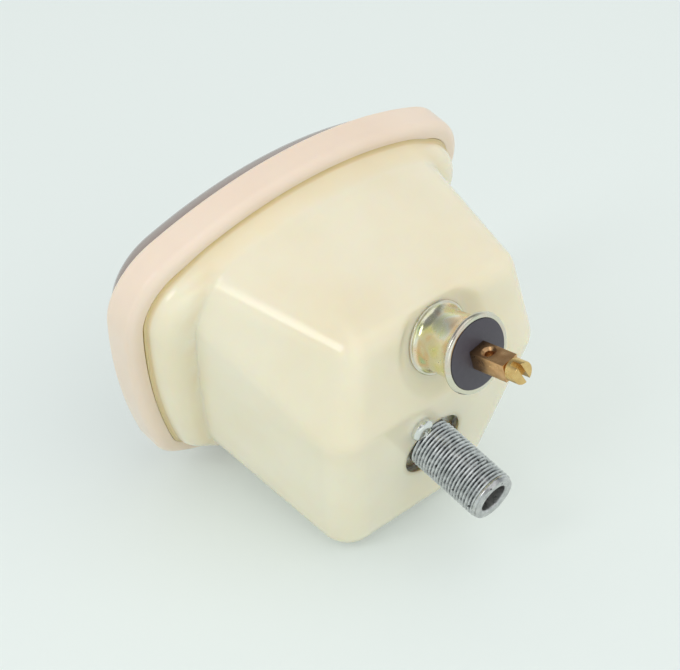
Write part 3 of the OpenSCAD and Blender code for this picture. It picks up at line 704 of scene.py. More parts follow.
def new_shape_tree(name: str, sizes: dict[str, str]) -> tuple[Tree, dict[str, Socket], bpy.types.Node]:
    """Starts a geometry tree with named inputs.

    Args:
        name: Name of the tree.
        sizes: Input names, to their socket types.

    Returns:
        The tree, its inputs' sockets by name, and its output node.
    """
    tree = bpy.data.node_groups.new(name, "GeometryNodeTree")
    tree.interface.new_socket("Geometry", in_out="INPUT", socket_type="NodeSocketGeometry")
    for label, kind in sizes.items():
        tree.interface.new_socket(label, in_out="INPUT", socket_type=kind)
    tree.interface.new_socket("Geometry", in_out="OUTPUT", socket_type="NodeSocketGeometry")
    source = add_node(tree, "NodeGroupInput")
    sockets = {s.name: s for s in source.outputs if s.name}
    return tree, sockets, add_node(tree, "NodeGroupOutput")


def grow(piece: Piece, tree: Tree, values: dict[str, Any], keep: bool = False) -> Piece:
    """Runs a geometry tree on a piece.

    Args:
        piece: The piece.
        tree: The tree.
        values: The values of its named inputs.
        keep: Whether the modifier stays live.

    Returns:
        The piece.
    """
    modifier = piece.modifiers.new(tree.name, "NODES")
    modifier.node_group = tree
    names = {s.name: s.identifier for s in tree.interface.items_tree if s.in_out == "INPUT"}
    for label, value in values.items():
        modifier[names[label]] = value
    return piece if keep else settled(piece)


def smoothing_tree() -> Tree:
    """A tree that merges loose triangles and shades them smooth up to an angle.

    Returns:
        The tree, made once.
    """
    known = bpy.data.node_groups.get("smooth_by_angle")
    if known:
        return known
    tree, sizes, out = new_shape_tree("smooth_by_angle", {"Angle": "NodeSocketFloat"})
    merged = add_node(tree, "GeometryNodeMergeByDistance", {"Geometry": sizes["Geometry"], "Distance": 1e-6})
    smooth = add_node(tree, "GeometryNodeSetShadeSmooth", {
        "Geometry": merged.outputs[0], "Shade Smooth": True}, domain="FACE")
    turn = add_node(tree, "GeometryNodeInputMeshEdgeAngle").outputs["Unsigned Angle"]
    sharp = add_node(tree, "FunctionNodeCompare", {0: turn, 1: sizes["Angle"]},
                     data_type="FLOAT", operation="GREATER_THAN").outputs[0]
    edged = add_node(tree, "GeometryNodeSetShadeSmooth", {
        "Geometry": smooth.outputs[0], "Selection": sharp, "Shade Smooth": False}, domain="EDGE")
    tree.links.new(edged.outputs[0], out.inputs[0])
    return tree


def dress(frame: dict[str, Any], node: str, finish: Finish, bevel_mm: float = 0.0,
          angle_deg: float = 30.0) -> None:
    """Gives a CAD node its finish, smooth shading and, if wanted, rounded edges.

    Args:
        frame: The loaded frame.
        node: Name of the CAD node.
        finish: What it is made of.
        bevel_mm: Width of the rounding on its edges.
        angle_deg: Edges that turn by more than this stay sharp or are rounded.
    """
    piece = frame["nodes"][node]
    piece.data.materials.clear()
    piece.data.materials.append(finish.material())
    if bevel_mm:
        merge = piece.modifiers.new("merge", "WELD")
        merge.merge_threshold = 1e-6
        bevel = piece.modifiers.new("rounding", "BEVEL")
        bevel.width = bevel_mm * MM
        bevel.segments = 2
        bevel.limit_method = "ANGLE"
        bevel.angle_limit = math.radians(angle_deg)
    grow(piece, smoothing_tree(), {"Angle": math.radians(angle_deg)}, keep=True)
    LOG.info("%s: %s", node, finish.name)


# The fan outline of the face


@dataclass(frozen=True)
class FanOutline:
    """Closed outline of four arcs and four rounded corners, the same on both sides."""

    top: float
    top_r: float
    drop: float
    low_r: float
    half_w: float
    side_r: float
    side_z: float
    corner_top: float
    corner_low: float
    steps: tuple[int, int, int, int, int] = (26, 22, 22, 16, 22)

    @staticmethod
    def meeting(c1: Vector, r1: float, c2: Vector, r2: float, pointer: Vector) -> Vector:
        """Where two circles meet, the point that lies further along the pointer.

        Args:
            c1: First centre.
            r1: First radius.
            c2: Second centre.
            r2: Second radius.
            pointer: The wanted direction.

        Returns:
            The point.
        """
        gap = (c2 - c1).length
        along = (r1 * r1 - r2 * r2 + gap * gap) / (2 * gap)
        across = math.sqrt(max(r1 * r1 - along * along, 0.0))
        u = (c2 - c1) / gap
        n = Vector((-u.y, u.x))
        return max((c1 + along * u + side * across * n for side in (1, -1)), key=lambda p: p.dot(pointer))

    def half(self, inset: float) -> list[Pair]:
        """Points from the top centre round by the right to the bottom centre.

        Args:
            inset: How far the outline is set in.

        Returns:
            X and Z pairs.
        """
        top_c, low_c = Vector((0, self.top - self.top_r)), Vector((0, self.low_r - self.drop))
        side_c = Vector((self.half_w - self.side_r, self.side_z))
        upper = self.meeting(top_c, self.top_r - self.corner_top, side_c, self.side_r - self.corner_top,
                             Vector((1, 1)))
        lower = self.meeting(low_c, self.low_r - self.corner_low, side_c, self.side_r - self.corner_low,
                             Vector((1, -1)))
        turns = [90.0]
        for start, end in ((top_c, upper), (side_c, upper), (side_c, lower), (low_c, lower)):
            step = end - start
            turns.append(math.degrees(math.atan2(step.y, step.x)))
        turns.append(-90.0)
        arcs = [(top_c, self.top_r), (upper, self.corner_top), (side_c, self.side_r),
                (lower, self.corner_low), (low_c, self.low_r)]
        points: list[Pair] = []
        for (centre, radius), start, end, steps in zip(arcs, turns, turns[1:], self.steps):
            points += bend((centre.x, centre.y), radius - inset, start, end, steps)[:-1]
        return points

    def points(self, inset: float) -> list[Pair]:
        """The whole outline, set in by a distance."""
        half = self.half(inset)
        mirrored = [(-x, z) for x, z in reversed(half[1:])]
        return half + [(0.0, inset - self.drop)] + mirrored

    def ring(self, inset: float, y: float) -> list[Vector]:
        """The outline as a ring of points at a distance along the spindle."""
        return [Vector((x, y, z)) for x, z in self.points(inset)]


# Outlines of the bezel and of the body's front end, in millimetres
FACE = FanOutline(47.5, 105, 37.8, 60, 52.4, 170, 49.0, 16.7, 13)
BODY_FRONT = FanOutline(43.0, 95, 32.6, 60, 41.8, 300, 71.2, 13.0, 25)


# Sub-assemblies


@dataclass
class Housing:
    """Moulded housing: a rolled skirt behind the bezel and a tapering body with a two-facet rear."""

    depth: float = 48.6
    bend_z: float = 17.0
    facet_tilt: float = 20.0
    lamp_tilt: float = 22.3
    low_corner: tuple[float, float, float] = (14.8, -19.9, 8.0)
    bend_r: float = 7.0
    bend_x: float = 24.6
    top_corner: tuple[float, float, float] = (21.2, 33.0, 6.0)
    skirt_inset: float = 4.8
    skirt_r: float = 6.2
    front_y: float = -1.0
    wall: float = 2.5
    hole_r: float = 8.2
    recess_r: float = 11.8
    recess_depth: float = 1.67
    recess_soft: float = 4.4
    fillet: float = 3.6
    # Strength of the amber painted as shade in the hollow where the skirt meets the body
    hollow_share: float = 0.3
    shoulder: float = 2.4
    groove: Pair = (0.85, 0.55)
    groove_steps: int = 6
    lamp_z: float = 29.7
    core_y: float = 3.0
    ball_rows: int = 48
    roll_steps: int = 24
    skirt_lead: float = 0.5
    lip_share: float = 0.985
    lip_drop: float = 0.15
    beyond: float = 200.0
    around: int = 320
    down: int = 120
    foot_steps: int = 8

    def corners(self) -> list[tuple[Vector, float]]:
        """Middles and radii of the balls whose hull makes the rounded rear, on the right side.

        Returns:
            The low, the middle and the top ball.
        """
        slope = math.radians(self.facet_tilt)
        low_x, low_z, low_r = self.low_corner
        top_x, top_z, top_r = self.top_corner
        bend_z = self.bend_z - self.bend_r * math.tan(slope / 2)
        top_y = self.depth - (top_z - self.bend_z) * math.tan(slope) - top_r / math.cos(slope)
        return [
            (Vector((low_x, self.depth - low_r, low_z)), low_r),
            (Vector((self.bend_x, self.depth - self.bend_r, bend_z)), self.bend_r),
            (Vector((top_x, top_y, top_z)), top_r),
        ]

    def hull_tree(self, points: Sequence[Sequence[float]]) -> BVHTree:
        """Wraps points in their convex hull, for rays to meet.

        Args:
            points: The points, in millimetres.

        Returns:
            The tree of the hull's faces.
        """
        work = bmesh.new()
        for p in points:
            work.verts.new(p)
        hull = bmesh.ops.convex_hull(work, input=work.verts)
        loose = [v for v in hull["geom_interior"] if isinstance(v, bmesh.types.BMVert)]
        bmesh.ops.delete(work, geom=loose, context="VERTS")
        tree = BVHTree.FromBMesh(work)
        work.free()
        return tree

    def body_points(self) -> list[Vector]:
        """Points of the body: its front outline and its rounded rear corners."""
        points = BODY_FRONT.ring(0.0, 0.0)
        for middle, radius in self.corners():
            for i in range(self.ball_rows + 1):
                tall = math.pi * i / self.ball_rows
                for turn in full_turn(2 * self.ball_rows):
                    x, z = math.sin(tall) * math.cos(turn), math.sin(tall) * math.sin(turn)
                    right = middle + radius * Vector((x, math.cos(tall), z))
                    points += [right, Vector((-right.x, right.y, right.z))]
        return points

    def skirt_points(self) -> list[Vector]:
        """Points of the rolled skirt behind the bezel."""
        points = FACE.ring(self.skirt_inset, self.front_y - self.skirt_lead)
        power = 2 / self.shoulder
        for i in range(self.roll_steps + 1):
            a = math.radians(90 * i / self.roll_steps)
            across, along = max(math.cos(a), 0.0) ** power, math.sin(a) ** power
            points += FACE.ring(self.skirt_inset + self.skirt_r * (1 - across), self.skirt_r * along)
        return points

    def lamp_seat(self) -> tuple[Vector, Vector]:
        """Foot of the lamp socket and the direction of its axis."""
        tilt = math.radians(self.lamp_tilt)
        rise = (self.lamp_z - self.bend_z) * math.tan(math.radians(self.facet_tilt))
        foot_y = self.depth - rise - self.recess_depth
        return Vector((0, foot_y, self.lamp_z)), Vector((0, math.cos(tilt), math.sin(tilt)))

    def sunk(self, point: Vector) -> Vector:
        """Sinks a point of the surface into the seat of the lamp socket, with a soft step.

        Args:
            point: A point of the rear facet.

        Returns:
            The point, or where the seat puts it.
        """
        foot, axis = self.lamp_seat()
        rise = (point - foot).dot(axis)
        reach = (point - foot - rise * axis).length
        share = min(max((self.recess_r - reach) / self.recess_soft + 0.5, 0.0), 1.0)
        share = share * share * (3 - 2 * share)
        return point - axis * (rise * share) if rise > 0 else point

    def reaches(self, trees: Sequence[BVHTree], start: Vector, ray: Vector) -> list[float]:
        """How far a ray runs before it leaves each form.

        Args:
            trees: The hulls of the body and of the skirt.
            start: Where the ray starts.
            ray: Its direction.

        Returns:
            The two distances.
        """
        hits = [tree.ray_cast(start + self.beyond * ray, -ray)[0] for tree in trees]
        return [(h - start).length if h else 0.0 for h in hits]

    def cast(self, trees: Sequence[BVHTree], start: Vector, ray: Vector) -> Vector:
        """Where a ray leaves the blend of both forms.

        Args:
            trees: The hulls of the body and of the skirt.
            start: Where the ray starts.
            ray: Its direction.

        Returns:
            The point, sunk into the seat of the lamp where it lies there.
        """
        reach = self.reaches(trees, start, ray)
        return self.sunk(start + self.blended(reach[0], reach[1], self.fillet) * ray)

    @staticmethod
    def blended(first: float, second: float, width: float) -> float:
        """The larger of two distances, with a soft change from one to the other."""
        gap = max(width - abs(first - second), 0.0) / width
        return max(first, second) + gap * gap * width * 0.25

    def build(self) -> Piece:
        """Casts rays at both forms, from the nipple's hole out to the skirt and on to the bezel.

        Returns:
            The housing, with its wall.
        """
        trees = [self.hull_tree(self.body_points()), self.hull_tree(self.skirt_points())]
        turns = full_turn(self.around)
        core = Vector((0, self.core_y, 0))
        hole_angle = math.atan2(self.hole_r, self.depth - self.core_y)
        rings = []
        for i in range(self.down):
            polar = hole_angle + (math.pi / 2 - hole_angle) * i / self.down
            rays = [Vector((math.sin(polar) * math.sin(t), math.cos(polar), math.sin(polar) * math.cos(t)))
                    for t in turns]
            rings.append([self.cast(trees, core, ray) for ray in rays])
        for i in range(self.foot_steps + 1):
            start = Vector((0, self.core_y + (self.groove[1] - self.core_y) * i / self.foot_steps, 0))
            rings.append([self.cast(trees, start, Vector((math.sin(t), 0, math.cos(t)))) for t in turns])
        lip = [Vector((p.x * self.lip_share, p.y - self.lip_drop, p.z * self.lip_share)) for p in rings[0]]
        rings += self.groove_rings(rings[-1])
        piece = loft("housing_shell", [lip] + rings, IVORY_ABS, sharp_deg=60)
        self.mark_hollow(piece, trees)
        skin = piece.modifiers.new("wall", "SOLIDIFY")
        skin.thickness = self.wall * MM
        skin.offset = -1
        return settled(piece)

    def mark_hollow(self, piece: Piece, trees: Sequence[BVHTree]) -> None:
        """Marks the soft hollow between the skirt and the body, where a little amber is painted as shade.

        Args:
            piece: The housing's outer skin.
            trees: The hulls of the body and of the skirt.
        """
        core = Vector((0, self.core_y, 0))
        hollow = piece.data.attributes.new("hollow", "FLOAT", "POINT")
        for spot, vertex in zip(hollow.data, piece.data.vertices):
            ray = (vertex.co / MM - core).normalized()
            reach = self.reaches(trees, core, ray)
            spot.value = self.hollow_share * max(1 - abs(reach[0] - reach[1]) / self.fillet, 0.0)

    def groove_rings(self, foot: Sequence[Vector]) -> list[list[Vector]]:
        """Rings that lead from the skirt's foot outwards in a hollow curve, and down behind the bezel's lip.

        Args:
            foot: The last ring of the skirt.

        Returns:
            The rings.
        """
        out, deep = self.groove
        rings = []
        for i in range(1, self.groove_steps + 1):
            a = math.radians(90 * i / self.groove_steps)
            reach, drop = out * (1 - math.cos(a)), Vector((0, deep * math.sin(a), 0))
            rings.append([p + reach * Vector((p.x, 0, p.z)).normalized() - drop for p in foot])
        rings.append([Vector((p.x, self.front_y, p.z)) for p in rings[-1]])
        return rings

    def make(self) -> None:
        """Builds the housing and lets it ride on the case."""
        shell = self.build()
        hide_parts("housing")
        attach(shell, "case")
        log_faces(shell)


@dataclass
class Bezel:
    """Bezel ring with a soft front edge and a groove for the lens."""

    depth: float = 8.3
    front_r: float = 1.2
    rear_r: float = 2.2
    play: float = 0.01
    opening: float = 2.7
    lip: float = 3.92
    lip_t: float = 1.0
    wall: float = 1.6
    seat_y: float = -7.0
    edge_r: float = 0.25

    def section(self) -> list[Pair]:
        """The ring's section as inset and distance along the spindle.

        Returns:
            The closed section.
        """
        front, small = -self.depth, self.edge_r
        return [
            (self.opening, self.seat_y), (self.opening, front + small),
            *bend((self.opening - small, front + small), small, 0, -90, 4)[1:],
            *bend((self.front_r, front + self.front_r), self.front_r, -90, -180, 8),
            *bend((self.rear_r, -self.rear_r), self.rear_r, 180, 90, 8),
            *bend((self.lip - small, -small), small, 90, 0, 4),
            (self.lip, -self.lip_t), (self.wall, -self.lip_t), (self.wall, self.seat_y),
        ]

    def make(self) -> None:
        """Builds the ring and lets it ride on the case."""
        rings = [FACE.ring(inset + self.play, y) for inset, y in self.section()]
        ring = loft("bezel_ring", rings, BLUSH_ABS, closed=True, sharp_deg=50)
        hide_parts("bezel")
        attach(ring, "case")
        log_faces(ring)


@dataclass
class Lens:
    """Acrylic dome on a flat rim that the bezel traps."""

    seat_y: float = -7.0
    thickness: float = 1.6
    rim_inset: float = 1.9
    dome_inset: float = 3.0
    rise: float = 10.66
    fullness: float = 0.35
    mid_z: float = 4.85
    crown_deg: float = 88.0
    rows: int = 26

    def dome(self, inset: float, rise: float) -> list[list[Vector]]:
        """Rings of one side of the dome, from its foot to near its middle.

        Args:
            inset: How far its foot is set in.
            rise: Its height above the seat.

        Returns:
            The rings.
        """
        foot = FACE.ring(inset, self.seat_y)
        mid = self.mid_z
        rings = []
        for i in range(self.rows + 1):
            share = math.cos(math.radians(self.crown_deg * i / self.rows))
            lift = rise * math.sqrt(max(1 - share ** (2 / self.fullness), 0.0))
            rings.append([Vector((p.x * share, p.y - lift, mid + (p.z - mid) * share)) for p in foot])
        return rings

    def make(self) -> None:
        """Builds both sides of the dome with its rim and lets it ride on the case."""
        back_y = self.seat_y + self.thickness
        outer = self.dome(self.dome_inset, self.rise)
        inner = self.dome(self.dome_inset + self.thickness, self.rise - self.thickness)
        rim = [FACE.ring(self.dome_inset + self.thickness, back_y), FACE.ring(self.rim_inset, back_y),
               FACE.ring(self.rim_inset, self.seat_y)]
        rings = list(reversed(inner)) + rim + outer
        dome = loft("lens_dome", rings, DOME_ACRYLIC, caps=(True, True), sharp_deg=40)
        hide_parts("lens")
        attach(dome, "case")
        log_faces(dome)


@dataclass
class CableNipple:
    """Die-cast nipple with a rolled thread, on its round flange."""

    radius: float = 6.0
    thread_depth: float = 0.42
    pitch: float = 0.88
    flange_r: float = 8.0
    flange_y: float = 46.5
    spigot_r: float = 5.5
    front_y: float = 43.1
    plate_y: float = 46.1
    tip_y: float = 68.2
    bore_r: float = 3.5
    bore_depth: float = 5.0
    head_bore_r: float = 3.2
    inner_y: float = 53.1
    spigot_bore_r: float = 4.0
    chamfer: float = 0.6
    edge_r: float = 0.15
    lead: float = 0.3
    flat_share: float = 0.3
    around: int = 48

    def thread_tree(self) -> Tree:
        """A tree that winds a grid into a V thread along Y.

        Returns:
            The tree, with its sizes as inputs.
        """
        number = "NodeSocketFloat"
        tree, sizes, out = new_shape_tree("rolled_thread", {
            "Crest": number, "Depth": number, "Pitch": number, "Turns": number, "Start": number,
            "Steps": "NodeSocketInt", "Finish": "NodeSocketMaterial"})
        maths = partial(arithmetic, tree)
        grid = add_node(tree, "GeometryNodeMeshGrid", {
            "Size X": 1.0, "Size Y": 1.0, "Vertices X": sizes["Steps"], "Vertices Y": 5})
        position = add_node(tree, "GeometryNodeInputPosition").outputs[0]
        spot = add_node(tree, "ShaderNodeSeparateXYZ", {0: position})
        along = maths("ADD", spot.outputs[0], 0.5)
        across = maths("ADD", spot.outputs[1], 0.5)
        turned_so_far = maths("MULTIPLY", along, sizes["Turns"])
        turn = maths("MULTIPLY", turned_so_far, 2 * math.pi)
        flank = maths("PINGPONG", maths("MULTIPLY", across, 2.0), 1.0)
        runout = maths("MINIMUM", maths("MULTIPLY", maths("PINGPONG", along, 0.5), 30.0), 1.0)
        sunk = maths("MULTIPLY", maths("MULTIPLY", maths("SUBTRACT", 1.0, flank), sizes["Depth"]), runout)
        lowered = maths("MULTIPLY", sizes["Depth"], self.flat_share)
        flat = maths("MULTIPLY", maths("SUBTRACT", 1.0, runout), lowered)
        radius = maths("SUBTRACT", maths("SUBTRACT", sizes["Crest"], sunk), flat)
        rise = maths("MULTIPLY", maths("ADD", turned_so_far, across), sizes["Pitch"])
        wound = add_node(tree, "ShaderNodeCombineXYZ", {
            0: maths("MULTIPLY", radius, maths("SINE", turn)),
            1: maths("ADD", rise, sizes["Start"]),
            2: maths("MULTIPLY", radius, maths("COSINE", turn))})
        moved = add_node(tree, "GeometryNodeSetPosition", {
            "Geometry": grid.outputs[0], "Position": wound.outputs[0]})
        merged = add_node(tree, "GeometryNodeMergeByDistance", {
            "Geometry": moved.outputs[0], "Distance": 2e-6})
        real = add_node(tree, "GeometryNodeRealizeInstances", {"Geometry": merged.outputs[0]})
        dressed = add_node(tree, "GeometryNodeSetMaterial", {
            "Geometry": real.outputs[0], "Material": sizes["Finish"]})
        tree.links.new(dressed.outputs[0], out.inputs[0])
        return tree

    def thread(self) -> Piece:
        """Winds the thread and returns it as a plain mesh."""
        blank = mesh_piece("nipple_thread", [(0, 0, 0)], [], THREAD_ZINC)
        length = self.tip_y - self.lead - self.pitch - self.flange_y
        piece = grow(blank, self.thread_tree(), {
            "Crest": (self.radius - 0.01) * MM, "Depth": self.thread_depth * MM, "Pitch": self.pitch * MM,
            "Turns": length / self.pitch, "Start": self.flange_y * MM,
            "Steps": int(self.around * length / self.pitch) + 1, "Finish": THREAD_ZINC.material()})
        tidy_mesh(piece.data, 45, outward=False)
        return piece

    def core(self) -> Piece:
        """Turns the nipple's core with its bores, end face and flange."""
        root = self.radius - self.thread_depth - 0.03
        small, tip = self.edge_r, self.tip_y
        profile = [
            (self.spigot_r, self.front_y), (self.spigot_r, self.plate_y), (self.flange_r, self.plate_y),
            *bend((self.flange_r - small, self.flange_y - small), small, 0, 90, 4),
            (root, self.flange_y), (root, tip - self.chamfer - 0.5),
            (self.radius - 0.3, tip - self.chamfer - 0.1), (self.radius - 0.5, tip - 0.2),
            *bend((self.radius - 0.75, tip - 0.25), 0.25, 30, 90, 3),
            *bend((self.bore_r + self.chamfer, tip - self.chamfer), self.chamfer, 90, 180, 5),
            (self.bore_r, tip - self.bore_depth), (self.head_bore_r, tip - self.bore_depth),
            (self.head_bore_r, self.inner_y), (self.spigot_bore_r, self.inner_y),
            (self.spigot_bore_r, self.front_y),
        ]
        return turned("nipple_core", profile, NIPPLE_ZINC, sharp_deg=28)

    def make(self, frame: dict[str, Any]) -> None:
        """Builds the nipple and dresses the frame that it stands on.

        Args:
            frame: The loaded frame.
        """
        nipple = joined("threaded_nipple", [self.core(), self.thread()])
        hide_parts("cable_nipple")
        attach(nipple, "case")
        dress(frame, "movement_frame", NIPPLE_ZINC, 0.15)
        log_faces(nipple)


@dataclass
class HousingScrews:
    """Two pan-head screws with a cross recess, which hold the movement's frame to the housing."""

    ring_r: float = 11.8
    angle_deg: float = 57.0
    seat_y: float = 48.6
    head_r: float = 2.8
    head_t: float = 2.1
    edge_t: float = 0.6
    shank_r: float = 1.5
    shank_length: float = 6.0
    arm: float = 1.55
    arm_half_w: float = 0.36
    recess_depth: float = 1.1
    recess_turn: float = 20.0
    end_slope: float = 0.7
    side_slope: float = 0.14
    fullness: float = 0.4
    rows: int = 40
    around: int = 144

    def recess(self, x: float, z: float) -> float:
        """How deep the cross recess is at a point of the head.

        Args:
            x: Place across the head.
            z: Place along it.

        Returns:
            The depth, 0 outside the recess.
        """
        turn = math.radians(self.recess_turn)
        u = abs(x * math.cos(turn) - z * math.sin(turn))
        v = abs(x * math.sin(turn) + z * math.cos(turn))
        shares = []
        for along, across in ((u, v), (v, u)):
            end, side = (self.arm - along) / self.end_slope, (self.arm_half_w - across) / self.side_slope
            shares.append(min(end, side, 1.0))
        return self.recess_depth * max(*shares, 0.0)

    def build(self, side: int) -> Piece:
        """Makes one screw.

        Args:
            side: 1 for the upper screw, -1 for the lower one.

        Returns:
            The screw.
        """
        turn = math.radians(self.angle_deg)
        middle = side * self.ring_r * Vector((math.cos(turn), 0, math.sin(turn)))
        angles = full_turn(self.around)
        rings = []
        for i in range(self.rows + 1):
            r = max(self.head_r * math.sin(math.radians(90 * i / self.rows)), 0.02)
            dome = max(1 - (r / self.head_r) ** 2, 0.0) ** self.fullness
            y = self.seat_y + self.edge_t + (self.head_t - self.edge_t) * dome
            spots = [(r * math.sin(a), r * math.cos(a)) for a in angles]
            rings.append([middle + Vector((x, y - self.recess(x, z), z)) for x, z in spots])
        for r, y in ((self.head_r, self.seat_y), (self.shank_r, self.seat_y),
                     (self.shank_r, self.seat_y - self.shank_length)):
            rings.append([middle + Vector((r * math.sin(a), y, r * math.cos(a))) for a in angles])
        return loft("pan_head_screw", rings, SCREW_STEEL, caps=(True, True), sharp_deg=50)

    def make(self) -> None:
        """Builds both screws and lets them ride on the case."""
        screws = joined("pan_head_screws", [self.build(side) for side in (1, -1)])
        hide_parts("housing_screws")
        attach(screws, "case")
        log_faces(screws)


@dataclass
class ClampScrew:
    """Slotted screw in the end of the terminal bar: a head with a chamfered rim on a narrower neck."""

    radius: float = 2.6
    length: float = 3.5
    neck_r: float = 2.2
    neck: float = 0.3
    chamfer: float = 0.3
    edge: float = 0.15
    shank_r: float = 1.2
    shank_length: float = 3.5
    slot_w: float = 1.2
    slot_depth: float = 2.2
    slot_turn: float = -63.0

    def make(self, place: Matrix, tip: float) -> None:
        """Builds the screw, saws its slot and lets it ride on the case.

        Args:
            place: The lamp socket's foot and axis.
            tip: Where the terminal bar ends on that axis.
        """
        end = tip + self.length
        profile = [
            (0.0, tip - self.shank_length), (self.shank_r, tip - self.shank_length), (self.shank_r, tip),
            (self.neck_r, tip), (self.neck_r, tip + self.neck), (self.radius - self.edge, tip + self.neck),
            (self.radius, tip + self.neck + self.edge), (self.radius, end - self.chamfer),
            *bend((self.radius - self.chamfer, end - self.chamfer), self.chamfer, 30, 90, 2), (0.0, end),
        ]
        screw = turned("clamp_screw_slotted", profile, SCREW_BRASS, place, closed=False, sharp_deg=40)
        reach, half = self.radius + 1, self.slot_w / 2
        saw = place @ Matrix.Rotation(math.radians(self.slot_turn), 4, "Y")
        heights = (end - self.slot_depth, end + 1)
        corners = [saw @ Vector((x, y, z)) for x in (-reach, reach) for y in heights for z in (-half, half)]
        faces = [(0, 1, 3, 2), (4, 6, 7, 5), (0, 4, 5, 1), (2, 3, 7, 6), (0, 2, 6, 4), (1, 5, 7, 3)]
        blade = mesh_piece("saw_blade", corners, faces, SCREW_BRASS)
        cut = screw.modifiers.new("slot", "BOOLEAN")
        cut.object = blade
        settled(screw)
        bpy.data.objects.remove(blade)
        tidy_mesh(screw.data, 30, outward=False)
        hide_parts("terminal_screw")
        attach(screw, "case")
        log_faces(screw)


@dataclass
class LampSocket:
    """Socket on the tilted facet: pressed shell, insulator, terminal and its clamp screw."""

    foot_r: float = 8.6
    ring_r: float = 9.3
    length: float = 12.3
    barrel_r: float = 7.4
    disc_r: float = 7.7
    disc_y: float = 10.3
    sleeve_r: float = 5.4
    bore_r: float = 4.7
    sleeve_length: float = 7.0
    terminal_tip: float = 22.0
    board_r: float = 8.05
    board_y: float = 12.45
    board_play: float = 0.02
    worn: float = 0.7
    housing: Housing = field(default_factory=Housing)

    def place(self) -> Matrix:
        """Where the socket's foot and axis lie, in millimetres."""
        foot, _ = self.housing.lamp_seat()
        return Matrix.Translation(foot) @ Matrix.Rotation(math.radians(self.housing.lamp_tilt), 4, "X")

    def shell(self) -> Piece:
        """Turns the spool: a flared foot, a waisted barrel and a rolled ring."""
        roll = (self.ring_r - self.disc_r) / 2
        ring_y = self.length - roll
        flare = self.ring_r - roll - self.barrel_r
        profile = [
            (self.bore_r, -self.sleeve_length), (self.sleeve_r, -self.sleeve_length), (self.sleeve_r, 0.0),
            *bend((self.foot_r - 0.35, 0.35), 0.35, -90, 90, 8),
            *bend((self.foot_r - 0.4, 3.1), (1.0, 2.4), -90, -180, 10)[1:],
            *bend((self.barrel_r + flare, ring_y - roll - 3), (flare, 3.0), 180, 90, 10)[1:],
            *bend((self.ring_r - roll, ring_y), roll, -60, 180, 20),
            (self.disc_r, self.disc_y), (self.bore_r, self.disc_y),
        ]
        shell = turned("lamp_socket_shell", profile, SHELL_STEEL, self.place(), segments=128, sharp_deg=50)
        self.rub(shell, ring_y - roll)
        return shell

    def board(self) -> Piece:
        """Turns the insulating board, which fills the ring up to its rim and has a rounded edge."""
        r, y, back = self.board_r, self.board_y, self.disc_y + self.board_play
        stem = self.disc_r - 0.05
        profile = [
            (0.0, back), (stem, back), (stem, y - 0.8), (r - 0.3, y - 0.55), (r - 0.1, y - 0.33),
            (r, y - 0.2), (r - 0.08, y - 0.05), (r - 0.2, y), (0.0, y),
        ]
        return turned("insulating_board", profile, INSULATOR_BOARD, self.place(), closed=False, sharp_deg=50)

    def rub(self, shell: Piece, ring_y: float) -> None:
        """Marks where hands have thinned the film: on the rolled ring and on the edge of the foot.

        Args:
            shell: The shell.
            ring_y: Where the ring starts along the socket's axis.
        """
        back = self.place().inverted()
        rubbed = shell.data.attributes.new("rub", "FLOAT", "POINT")
        for spot, vertex in zip(rubbed.data, shell.data.vertices):
            local = back @ (vertex.co / MM)
            reach = math.hypot(local.x, local.z)
            on_foot = local.y < 1.0 and reach > self.foot_r - 0.6
            spot.value = self.worn if local.y > ring_y or on_foot else 0.0

    def make(self, frame: dict[str, Any]) -> None:
        """Builds the shell and dresses what it holds.

        Args:
            frame: The loaded frame.
        """
        shell = self.shell()
        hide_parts("lamp_shell")
        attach(shell, "case")
        board = self.board()
        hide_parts("lamp_insulator")
        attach(board, "case")
        dress(frame, "lamp_terminal", TERMINAL_BRASS, 0.14)
        ClampScrew().make(self.place(), self.terminal_tip)
        dress(frame, "bulb_base", SCREW_BRASS, 0.1)
        dress(frame, "bulb_glass", BULB_GLASS)
        log_faces(shell)


